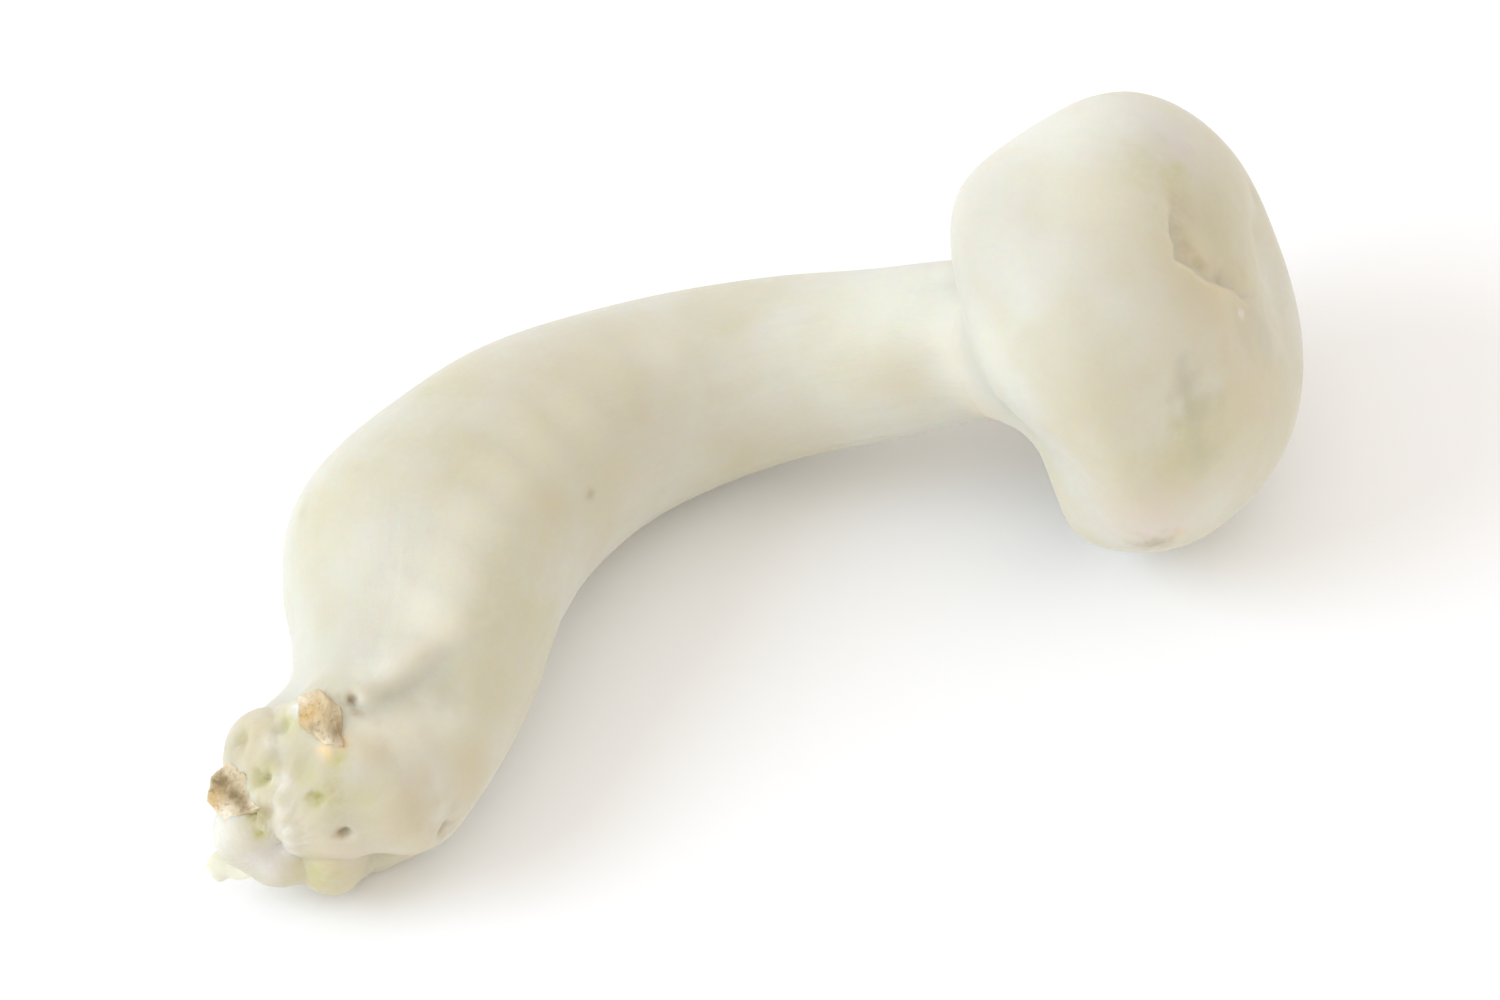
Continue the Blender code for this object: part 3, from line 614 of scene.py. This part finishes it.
def cap_points(stem_tree):
    """Rings of points over the cap, with the creases' mask at each, and how far each ring is shown."""
    places = cap_ring_places()
    angles = np.linspace(0.0, math.tau, CAP_SIDES, endpoint=False)
    degrees = np.degrees(angles)[None, :]
    share = shut_share(degrees)
    before = np.floor(places).astype(int)
    part = (places - before)[:, None, None]
    outline = 0.0
    weights = ((1.0 - share) ** 2, 2.0 * share * (1.0 - share), share ** 2)
    for weight, rest in zip(weights, (OPEN, HALF_SHUT, SHUT)):
        curve = around_stem(rest, stem_tree, angles)
        outline = outline + weight[..., None] * (curve[before] * (1.0 - part) + curve[before + 1] * part)
    radius, height = margin_shape(outline[..., 0], outline[..., 1], degrees)
    x, y = radius * np.cos(angles), radius * np.sin(angles)
    lean = LEAN * (np.maximum(height, 0.0) / CAP_HEIGHT) ** 2
    x = x + lean * math.cos(math.radians(LEAN_TO))
    y = y + lean * math.sin(math.radians(LEAN_TO))
    over = smooth_step(height, *DOME_FOOT)
    depth, crease = crown_creases(x, y, over)
    height = height - crown_dent(x, y, over) - depth
    shown = 1.0 - smooth_step(places / SPAN_SAMPLES - len(DOME), ROOT_STARTS, ROOT_STARTS + 1.0)[:, None]
    return on_cap(x, y, height), crease, shown


def gill_points(number, angle):
    """Points over both sides of one gill, with its slightly wavy free edge."""
    along, down = (np.linspace(0.0, 1.0, count) for count in GILL_POINTS)
    uneven = {name: math.sin(turn * number) for name, turn in GILL_TURNS.items()}
    short = number % 2
    start = (SHORT_GILL_FROM if short else GILL_FROM) + SHORT_GILL_WANDER * uneven["start"] * short
    radius = start + (GILL_TO - start) * along[:, None] * np.ones((1, len(down)))
    first, share, power = GILL_BELLY
    belly = np.sin(math.pi * np.clip(first + share * along, 0.0, 1.0)) ** power
    depth = GILL_DEPTH * belly * (SHORT_GILL_DEPTH if short else 1.0) * (1.0 + GILL_UNEVEN * uneven["depth"])
    height = GILL_TOP - down[None, :] * depth[:, None]
    wave = GILL_WAVE * down[None, :] * np.sin(GILL_WAVE_TURN * radius + GILL_TURNS["wave"] * number)
    wave = wave + GILL_UNEVEN * uneven["aside"]
    half = 0.5 * (GILL_THICKNESS + (GILL_EDGE - GILL_THICKNESS) * down[None, :] ** 2) * np.ones_like(radius)
    sides = []
    for across in (wave + half, wave - half):
        x = radius * math.cos(angle) - across * math.sin(angle)
        y = radius * math.sin(angle) + across * math.cos(angle)
        sides.append(on_cap(x, y, height).reshape(-1, 3))
    return np.concatenate(sides)


def gill_faces():
    """The faces over one gill's points: both sides, and the strip round their edge."""
    size = math.prod(GILL_POINTS)
    place = np.arange(size).reshape(GILL_POINTS)
    quads = np.stack([place[:-1, :-1], place[1:, :-1], place[1:, 1:], place[:-1, 1:]], axis=-1)
    quads = quads.reshape(-1, 4)
    ring = np.concatenate([place[0, :-1], place[:-1, -1], place[-1, :0:-1], place[:0:-1, 0]])
    after = np.roll(ring, -1)
    rim = np.stack([ring, after, after + size, ring + size], axis=-1)
    return np.concatenate([quads, quads[:, ::-1] + size, rim])


def gill_plates():
    """The points and faces of all the gills, thin upright plates that end where the margin closes."""
    points, faces = [], []
    for number in range(2 * GILLS):
        angle = math.tau * number / (2 * GILLS)
        if shut_share(math.degrees(angle)) <= GILLS_STOP:
            plate = gill_points(number, angle)
            faces.append(gill_faces() + len(points) * len(plate))
            points.append(plate)
    return np.concatenate(points), np.concatenate(faces).tolist()


def rounding(away, reach):
    """The share of its radius that a round end has at this distance from its tip."""
    return np.sqrt(np.maximum(0.0, 1.0 - (1.0 - np.minimum(away / reach, 1.0)) ** 2))


def stem_ring_places(end):
    """Lengths along the stem at which its rings lie: closest on the foot's round end."""
    rounded = FOOT_ROUND * (1.0 - np.cos(np.linspace(FIRST_RING, math.pi / 2, END_RINGS)))
    foot = np.linspace(FOOT_ROUND, FOOT_REACH, FOOT_RINGS)[1:]
    rest = np.linspace(FOOT_REACH, end - NECK_ROUND, STEM_RINGS)[1:]
    return np.concatenate([rounded, foot, rest, end - NECK_ROUND * np.array(LAST_RINGS)])


def swell(points, middles):
    """Foot points pushed out, as seen from the foot's middle, to the top of the knobs they meet."""
    away = points - middles
    base = np.linalg.norm(away, axis=-1)
    ways = unit(away)
    reaches = [base]
    for *lump, radius in FOOT_LUMPS:
        offset = np.array(lump) - middles
        ahead = np.sum(ways * offset, axis=-1)
        beside = np.sqrt(np.maximum(np.sum(offset ** 2, axis=-1) - ahead ** 2, 0.0)) / radius
        top = np.linalg.norm(offset, axis=-1) + radius
        beside = beside * (1.0 + LUMP_WANDER * fractal(points, *LUMP_NOISE))
        round_share = np.sqrt(np.maximum(1.0 - beside ** 2, 0.0)) * (ahead > 0.0)
        reaches.append(base + (top - base + KNOB_ROOT) * round_share - KNOB_ROOT)
    reaches = np.array(reaches)
    top = reaches.max(axis=0)
    blended = top + LUMP_BLEND * np.log(np.sum(np.exp((reaches - top) / LUMP_BLEND), axis=0))
    unmet = LUMP_BLEND * math.log(1.0 + len(FOOT_LUMPS) * math.exp(-KNOB_ROOT / LUMP_BLEND))
    return middles + ways * (blended - unmet)[..., None]


def fold_drop(points):
    """How far the surface lies lower under the belly's fold."""
    run = FOLD_END - FOLD_START
    down = unit(np.cross(run, UPWARD))
    share = (points - FOLD_START) @ run / (run @ run)
    off = (points - FOLD_START) @ down
    step = 1.0 / (1.0 + np.exp(np.clip(-off / FOLD_STEP, -FOLD_STEP_END, FOLD_STEP_END)))
    drop = (FOLD_DEPTH * bump(share, FOLD_MIDDLE, FOLD_SPREAD) * step
            * bump(np.maximum(off, 0.0), 0.0, FOLD_RUN_OUT))
    return drop * smooth_step(points[..., 2], *FOLD_FLOOR)


def foot_relief(foot):
    """How far the torn foot's skin stands out from its knobs: roughness, hills and pits."""
    relief = ROUGHNESS * fractal(foot, *ROUGH_NOISE) + FINE_ROUGHNESS * fractal(foot, *FINE_NOISE)
    relief = relief * bump(distance(foot, ROUGH_MIDDLE), 0.0, ROUGH_REACH)
    for *hill, reach, lift in FOOT_HILLS:
        relief = relief + lift * bump(distance(foot, hill), 0.0, reach)
    wander = np.clip(1.0 + PIT_WANDER * fractal(foot, *PIT_NOISE), *PIT_RANGE)
    for *pit, reach, depth in FOOT_PITS:
        relief = relief - depth * bump(distance(foot, nearest(foot, pit)) * wander, 0.0, reach)
    return relief


def torn_foot(foot, middles):
    """The foot's points after its fuller places, knobs, relief and fold."""
    ways = unit(foot - middles)
    for *place, reach, lift in FOOT_FILL:
        foot = foot + ways * (lift * bump(distance(foot, place), 0.0, reach))[..., None]
    foot = swell(foot, middles)
    ways = unit(foot - middles)
    return foot + ways * (foot_relief(foot) - fold_drop(foot))[..., None]


def stem_points():
    """Rings of points over the stem, with their places on a straight bar of fibres, and their dryness."""
    inside = [(*(CAP_CENTRE + AXIS * place), NECK_RADIUS) for place in (NECK_START, NECK_END)]
    samples = smooth_curve(STEM_STATIONS + inside)
    line, radii = samples[:, :3], samples[:, 3]
    along = lengths_along(line)
    end = along[-1]
    tangents = np.gradient(line, along, axis=0)
    tangents = np.array([bump(along, here, TURN_REACH) @ tangents for here in along])
    places = stem_ring_places(end)
    angles = np.linspace(0.0, math.tau, STEM_SIDES, endpoint=False)
    cosines, sines = np.cos(angles), np.sin(angles)
    tangent = unit(read_along(tangents, along, places))
    up = unit(UPWARD - tangent * tangent[:, 2:])
    across = np.cross(tangent, up)
    radius = np.interp(places, along, radii) * rounding(places, FOOT_ROUND)
    radius = radius * rounding(end - places, NECK_ROUND) ** NECK_BLUNT
    ring = up[:, None] * cosines[None, :, None] + across[:, None] * sines[None, :, None]
    points = read_along(line, along, places)[:, None] + ring * radius[:, None, None]
    in_foot = places < FOOT_REACH
    middles = read_along(line, along, np.maximum(places, FOOT_MIDDLE))[in_foot, None]
    points[in_foot] = torn_foot(points[in_foot], middles)
    bar = (cosines * GRAIN_RADIUS, sines * GRAIN_RADIUS, places[:, None])
    torn = TORN_DRYNESS * bump(places, 0.0, TORN_REACH)[:, None] * np.ones(STEM_SIDES)
    return points, np.stack(np.broadcast_arrays(*bar), axis=-1), torn


def tube_quads(count, sides):
    """The faces between this many rings with this many points each."""
    number = np.arange(count * sides).reshape(count, sides)
    following = np.roll(number, -1, axis=1)
    quads = np.stack([number[:-1], following[:-1], following[1:], number[1:]], axis=-1)
    return quads.reshape(-1, 4).tolist()


def surface_tree(rings):
    """A search tree over the tube of these rings, for distances and for casting rays onto it."""
    return BVHTree.FromPolygons(rings.reshape(-1, 3).tolist(), tube_quads(*rings.shape[:2]))


def join_gap(points, other):
    """Distance from the points to the other skin, for those near where the two have grown together."""
    flat = points.reshape(-1, 3)
    near = distance(flat, CAP_CENTRE + AXIS * JOIN_MIDDLE) < JOIN_ZONE
    gaps = np.full(len(flat), JOIN_ZONE)
    for place in np.nonzero(near)[0]:
        gaps[place] = other.find_nearest(Vector(flat[place]))[3]
    return gaps.reshape(points.shape[:-1])


def join_curve(points):
    """How far from the join the hollow curve starts, in each point's direction from the cap's axis."""
    away = points - CAP_CENTRE
    degrees = turned(np.degrees(np.arctan2(away @ SIDE, away @ UP)))
    return np.interp(degrees, *np.array(JOIN_CURVES).T)


def join_mask(rings, gap):
    """Where the join is too near for light to sink in."""
    return bump(np.maximum(gap - JOIN_NEAREST * join_curve(rings), 0.0), 0.0, JOIN_REACH)


def grown_together(rings, gap, shown=1.0):
    """The rings' points, drawn outwards near the other skin so that the two meet in a hollow curve."""
    around = np.roll(rings, -1, axis=1) - np.roll(rings, 1, axis=1)
    crossed = np.cross(around, np.gradient(rings, axis=0))
    outward = math.copysign(1.0, np.sum(crossed * (rings - rings.mean(axis=(0, 1)))))
    curve = join_curve(rings)
    share = np.clip(gap / curve, JOIN_NEAREST, 1.0)
    lift = curve * ((1.0 - np.sqrt(1.0 - JOIN_OPENING * (1.0 - share))) / JOIN_OPENING) ** 2
    return rings + outward * unit(crossed) * (lift * shown)[..., None]


def flake_points():
    """Rings over a thin leaf of torn skin that lies against the foot and faces the viewer."""
    rings, sides = FLAKE_GRID
    turn = np.linspace(0.0, math.pi, rings + 2)[1:-1][:, None]
    angles = np.linspace(0.0, math.tau, sides, endpoint=False)[None, :]
    across = np.cos(turn) * np.ones_like(angles)
    upward, through = np.sin(turn) * np.cos(angles), np.sin(turn) * np.sin(angles)
    height, pace, phase = FLAKE_WAVES
    tooth, tooth_pace = FLAKE_TEETH
    edge = 1.0 + height * np.sin(pace * across + phase) * upward + tooth * np.sin(tooth_pace * across)
    rise = math.radians(VIEW_RISE)
    up = np.array((0.0, math.sin(rise), math.cos(rise)))
    out = np.array((0.0, -math.cos(rise), math.sin(rise)))
    wide, tall, thick = FLAKE_SIZE
    bent_out, bent_in = FLAKE_BEND
    points = (FLAKE + across[..., None] * wide * np.array((1.0, 0.0, 0.0))
              + (upward * edge * tall)[..., None] * up
              + (through * thick + bent_out * across ** 2 - bent_in * upward ** 2)[..., None] * out)
    return points + FLAKE_ROUGHNESS * fractal(points, *FLAKE_NOISE)[..., None]


def stains_and_light(points, marks):
    """Strength of each kind of mark, of stain and of painted light and shade, at the points."""
    uneven = MARK_WANDER * fractal(points, *MARK_NOISE)
    masks = {kind: np.zeros(points.shape[:-1]) for kind in marks}
    for kind, rows in marks.items():
        for *place, reach, strength in rows:
            middle = nearest(points, place) if reach < SMALL_MARK else np.array(place)
            wander = np.clip(1.0 + uneven / max(reach, SMALL_MARK), *MARK_RANGE)
            near = strength * bump(distance(points, middle) * wander, 0.0, reach)
            masks[kind] = np.maximum(masks[kind], near)
    return masks


def placed(name, mesh, material):
    """A smooth object of this mesh and material, in the scene."""
    mesh.materials.append(material)
    mesh.shade_smooth()
    obj = bpy.data.objects.new(name, mesh)
    bpy.context.scene.collection.objects.link(obj)
    return obj


def in_box(points):
    """Points of the drawing kept inside the part's box, in the part's frame and in metres."""
    return (np.clip(points, LOW, HIGH) + SHIFT) * MM


def solid(name, points, faces, material):
    """An object of these points, in the drawing's frame, with its faces pointing out."""
    mesh = bpy.data.meshes.new(name)
    mesh.from_pydata(in_box(points).tolist(), [], faces)
    made = bmesh.new()
    made.from_mesh(mesh)
    bmesh.ops.recalc_face_normals(made, faces=made.faces)
    made.to_mesh(mesh)
    made.free()
    return placed(name, mesh, material)


def skin(name, rings, masks, material):
    """A surface over rings of points, closed at both ends, with the masks' values at its points."""
    count, sides = rings.shape[:2]
    first, last, start = count * sides, count * sides + 1, (count - 1) * sides
    after = [(side + 1) % sides for side in range(sides)]
    faces = tube_quads(count, sides)
    faces += [(first, b, a) for a, b in enumerate(after)]
    faces += [(last, start + a, start + b) for a, b in enumerate(after)]
    points = np.vstack([rings.reshape(-1, 3), rings[0].mean(axis=0), rings[-1].mean(axis=0)])
    obj = solid(name, points, faces, material)
    for mask, values in masks.items():
        ends = [values[0].mean(axis=0), values[-1].mean(axis=0)]
        full = np.concatenate([values.reshape(-1, *values.shape[2:]), ends])
        kind, key = ("FLOAT_VECTOR", "vector") if values.ndim == 3 else ("FLOAT", "value")
        obj.data.attributes.new(mask, kind, "POINT").data.foreach_set(key, full.ravel())
    return obj


def chip(name, corners, root, marks, material):
    """An angular, fibrous crumb: the hull of its corners and of the same corners inside the foot."""
    corners = np.array(corners)
    inward = unit(np.array(root) - corners.mean(axis=0))
    made = bmesh.new()
    for corner in np.concatenate([corners, corners + inward * CRUMB_ROOT]):
        made.verts.new(corner)
    hull = bmesh.ops.convex_hull(made, input=made.verts)
    bmesh.ops.delete(made, geom=list({*hull["geom_interior"], *hull["geom_unused"]}), context="VERTS")
    bmesh.ops.triangulate(made, faces=made.faces)
    bmesh.ops.subdivide_edges(made, edges=made.edges, cuts=CRUMB_CUTS, use_grid_fill=True)
    bmesh.ops.recalc_face_normals(made, faces=made.faces)
    first, last = CRUMB_RUN
    run = unit(corners[last] - corners[first])
    for vert in made.verts:
        place = np.array(vert.co)
        stretched = place - CRUMB_STRETCH * run * (place @ run)
        value = noise_at(stretched, *FIBRE_NOISE) + LUMP_SHARE * noise_at(place, *CRUMB_LUMPS)
        vert.co += vert.normal * CRUMB_GRAIN * value
    mesh = bpy.data.meshes.new(name)
    made.to_mesh(mesh)
    made.free()
    points = np.array([vert.co for vert in mesh.vertices])
    for kind, values in stains_and_light(points, marks).items():
        mesh.attributes.new(kind, "FLOAT", "POINT").data.foreach_set("value", values)
    mesh.vertices.foreach_set("co", in_box(points).ravel())
    obj = placed(name, mesh, material)
    mesh.set_sharp_from_angle(angle=math.radians(CRUMB_SHARP))
    return obj


def connect(tree, node, sockets):
    """The node with its sockets set or linked, by name or number."""
    for socket, value in sockets.items():
        if isinstance(value, bpy.types.NodeSocket):
            tree.links.new(value, node.inputs[socket])
        else:
            node.inputs[socket].default_value = value
    return node


def add(tree, kind, sockets, **settings):
    """A new shader node with these sockets and settings."""
    node = tree.nodes.new("ShaderNode" + kind)
    for setting, value in settings.items():
        setattr(node, setting, value)
    return connect(tree, node, sockets)


def scaled(tree, vector, factors):
    return add(tree, "VectorMath", {0: vector, 1: factors}, operation="MULTIPLY").outputs[0]


def texture(tree, vector, name):
    """The named texture's noise, spread to the range from 0 to 1."""
    scale, low, high, detail = TEXTURES[name]
    sockets = {"Vector": vector, "Scale": scale, "Detail": detail, "Roughness": NOISE_ROUGHNESS}
    value = add(tree, "TexNoise", sockets).outputs["Fac"]
    sockets = {"Value": value, "From Min": low, "From Max": high}
    return add(tree, "MapRange", sockets, interpolation_type="SMOOTHSTEP").outputs[0]


def spread(tree, value, bounds):
    """A value from 0 to 1 spread between these bounds."""
    return add(tree, "MapRange", {"Value": value, **bounds}).outputs[0]


def maths(tree, operation, a, b):
    return add(tree, "Math", {0: a, 1: b}, operation=operation).outputs[0]


def times(tree, a, b):
    return maths(tree, "MULTIPLY", a, b)


def mixed(tree, share, a, b):
    """One colour over another, each of them a socket or three numbers."""
    a, b = (value if isinstance(value, bpy.types.NodeSocket) else (*value, 1.0) for value in (a, b))
    return add(tree, "Mix", {0: share, 6: a, 7: b}, data_type="RGBA").outputs[2]


def tinted(tree, colour, value, share, tint):
    """The colour under this share of a tint, where the value is 1."""
    return mixed(tree, times(tree, value, share), colour, tint)


def relieved(tree, relief, settings):
    """The directions of a surface with this relief."""
    return add(tree, "Bump", {**settings, "Height": relief}).outputs["Normal"]


def attribute(tree, name, output="Fac"):
    return add(tree, "Attribute", {}, attribute_name=name).outputs[output]


def millimetres(tree):
    place = add(tree, "TexCoord", {}).outputs["Object"]
    return scaled(tree, place, (1.0 / MM, 1.0 / MM, 1.0 / MM))


def principled(name):
    material = bpy.data.materials.new(name)
    material.use_nodes = True
    return material, material.node_tree, material.node_tree.nodes["Principled BSDF"]


def with_stains_and_light(tree, place, colour, colours, cover, soft=()):
    """The colour under the marks of stain and of painted light and shade, each where its mask is, and under a
    ragged cover unless its kind is soft.
    """
    ragged = maths(tree, "ADD", times(tree, texture(tree, place, cover), RAGGED_RANGE), RAGGED_LEAST)
    for kind, stain in colours.items():
        strength = attribute(tree, kind)
        if kind not in soft:
            strength = times(tree, strength, ragged)
        colour = mixed(tree, strength, colour, stain)
    return colour


def flesh(name, pale, cream, grain=None, marked=True, glow=1.0):
    """Mushroom flesh: creams in soft clouds, fine mottling, stain and painted light and shade from the masks,
    painted warm light at the join, fibres along the grain.
    """
    material, tree, shader = principled(name)
    place = millimetres(tree)
    colour = mixed(tree, texture(tree, place, "clouds"), pale, cream)
    clouds = texture(tree, scaled(tree, place, OLIVE_STRETCH), "olive clouds")
    colour = tinted(tree, colour, clouds, OLIVE_SHARE, STAIN_AND_LIGHT_COLOURS["olive"])
    mottling = texture(tree, place, "mottling")
    colour = tinted(tree, colour, mottling, MOTTLING_SHARE, STAIN_AND_LIGHT_COLOURS["tan_and_shade"])
    relief = times(tree, texture(tree, place, "fine relief"), FINE_RELIEF)
    gloss = spread(tree, texture(tree, place, "gloss"), FLESH_GLOSS)
    if grain:
        bar = attribute(tree, grain, "Vector")
        fibres = texture(tree, scaled(tree, bar, FIBRE_STRETCH), "fibres")
        colour = tinted(tree, colour, fibres, FIBRE_SHARE, STAIN_AND_LIGHT_COLOURS["tan_and_shade"])
        relief = maths(tree, "ADD", relief, fibres)
    if marked:
        colour = with_stains_and_light(tree, place, colour, STAIN_AND_LIGHT_COLOURS, "ragged", SOFT_KINDS)
        # painted warm light where cap and stem join, filling the seam's shade
        joined = maths(tree, "POWER", attribute(tree, "join"), JOIN_POWER)
        colour = tinted(tree, colour, joined, JOIN_TINT, JOIN_PAINTED_LIGHT)
        dry = attribute(tree, "dry")
        glow = maths(tree, "SUBTRACT", 1.0, dry)
        gloss = maths(tree, "ADD", gloss, times(tree, dry, DRY_ROUGHNESS))
    connect(tree, shader, {
        "Base Color": colour, "Roughness": gloss, "Normal": relieved(tree, relief, FLESH_BUMP),
        "Subsurface Weight": glow, "Subsurface Radius": SCATTER, "Subsurface Scale": SCATTER_SCALE,
        "Specular IOR Level": SPECULAR,
    })
    return material


def growing_medium():
    """Woody crumbs: beige in streaks, with rust, bark and ash coloured facets from the masks."""
    material, tree, shader = principled("growing_medium")
    place = millimetres(tree)
    streaks = texture(tree, scaled(tree, place, STREAK_STRETCH), "streaks")
    colour = mixed(tree, streaks, CHIP_DARK, CHIP_LIGHT)
    colour = with_stains_and_light(tree, place, colour, CHIP_COLOURS, "ragged chips")
    specks = texture(tree, place, "specks")
    colour = tinted(tree, colour, specks, SPECK_SHARE, CHIP_SPECKS)
    relief = relieved(tree, maths(tree, "ADD", streaks, specks), CHIP_BUMP)
    connect(tree, shader, {
        "Base Color": colour, "Roughness": spread(tree, streaks, CHIP_GLOSS), "Normal": relief,
        "Subsurface Weight": CHIP_GLOW, "Subsurface Radius": SCATTER, "Subsurface Scale": CHIP_SCATTER_SCALE,
    })
    return material


def add_stage():
    """A wide white floor."""
    material, tree, shader = principled("floor_white")
    connect(tree, shader, {"Base Color": (*FLOOR_WHITE, 1.0), "Roughness": FLOOR_ROUGHNESS})
    bpy.ops.mesh.primitive_plane_add(size=FLOOR_SIZE, location=(0.0, 0.0, 0.0))
    floor = bpy.context.object
    floor.name = "floor"
    floor.data.materials.append(material)


def add_lights():
    """Even light from all round, and one large soft lamp from the left."""
    world = bpy.data.worlds.new("studio")
    bpy.context.scene.world = world
    world.use_nodes = True
    background = world.node_tree.nodes["Background"]
    connect(world.node_tree, background, {"Color": FILL_COLOUR, "Strength": FILL_STRENGTH})
    key = bpy.data.lights.new("key", "AREA")
    key.shape = "DISK"
    key.size = KEY_SIZE
    key.energy = KEY_POWER
    key.color = KEY_COLOUR
    lamp = bpy.data.objects.new("key", key)
    lamp.location = KEY_PLACE
    lamp.rotation_euler = (-lamp.location).to_track_quat("-Z", "Y").to_euler()
    bpy.context.scene.collection.objects.link(lamp)
    bpy.context.scene.view_settings.view_transform = "Standard"


def add_camera():
    """A long lens that looks down at the mushroom."""
    camera = bpy.data.cameras.new("camera")
    camera.sensor_width = SENSOR_WIDTH
    camera.lens = SENSOR_WIDTH / (VIEW_WIDTH / VIEW_DISTANCE)
    camera.clip_start = CLIP_START
    obj = bpy.data.objects.new("camera", camera)
    rise = math.radians(VIEW_RISE)
    off = Vector((0.0, -VIEW_DISTANCE * math.cos(rise), VIEW_DISTANCE * math.sin(rise)))
    obj.location = off + Vector(SHIFT * MM)
    obj.rotation_euler = (math.radians(90.0 - VIEW_RISE), 0.0, 0.0)
    bpy.context.scene.collection.objects.link(obj)
    bpy.context.scene.camera = obj


def cap_and_stem():
    """The skins of the two, drawn together where they have grown together."""
    stem_rings, grain, torn = stem_points()
    stem_tree = surface_tree(stem_rings)
    cap_rings, crease, shown = cap_points(stem_tree)
    cap_gap = join_gap(cap_rings, stem_tree)
    stem_gap = join_gap(stem_rings, surface_tree(cap_rings[shown[:, 0] > OUTSIDE]))
    cap_masks = stains_and_light(cap_rings, CAP_MARKS)
    # painted shade in the crown's creases and round its lobe
    cap_masks["shade"] = np.maximum(cap_masks["shade"], CREASE_SHADE * crease)
    cap_masks["join"] = cap_masks["dry"] = join_mask(cap_rings, cap_gap)
    stem_masks = stains_and_light(stem_rings, STEM_MARKS)
    stem_masks["join"] = join_mask(stem_rings, stem_gap)
    stem_masks["dry"] = np.maximum(stem_masks["join"], torn)
    stem_masks["grain"] = grain
    cap_skin, stem_skin = flesh("cap_skin", PALE, CREAM), flesh("stem_skin", PALE, CREAM, "grain")
    cap = skin("cap_flesh", grown_together(cap_rings, cap_gap, shown), cap_masks, cap_skin)
    return cap, skin("stem_flesh", grown_together(stem_rings, stem_gap), stem_masks, stem_skin)


def main():
    cap, stem = cap_and_stem()
    gill_skin = flesh("gill_skin", GILL_PALE, GILL_CREAM, marked=False, glow=GILL_GLOW)
    flake_skin = flesh("flake_skin", FLAKE_PALE, PALE, marked=False, glow=0.0)
    gills = solid("gills", *gill_plates(), gill_skin)
    flake = skin("torn_flake", flake_points(), {}, flake_skin)
    medium = growing_medium()
    upper = chip("crumb_upper_chip", CRUMB_UPPER, CRUMB_UPPER_ROOT, UPPER_MARKS, medium)
    left = chip("crumb_left_chip", CRUMB_LEFT, CRUMB_LEFT_ROOT, LEFT_MARKS, medium)
    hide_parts("cap")
    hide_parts("stem")
    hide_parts("crumb_upper")
    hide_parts("crumb_left")
    for piece, slot in ((cap, "cap_flesh"), (gills, "cap_flesh"), (stem, "stem_flesh"), (flake, "stem_flesh"),
                        (upper, "growing_medium"), (left, "growing_medium")):
        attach(piece, "root")
    add_stage()
    add_lights()
    add_camera()


main()
bpy.context.view_layer.update()
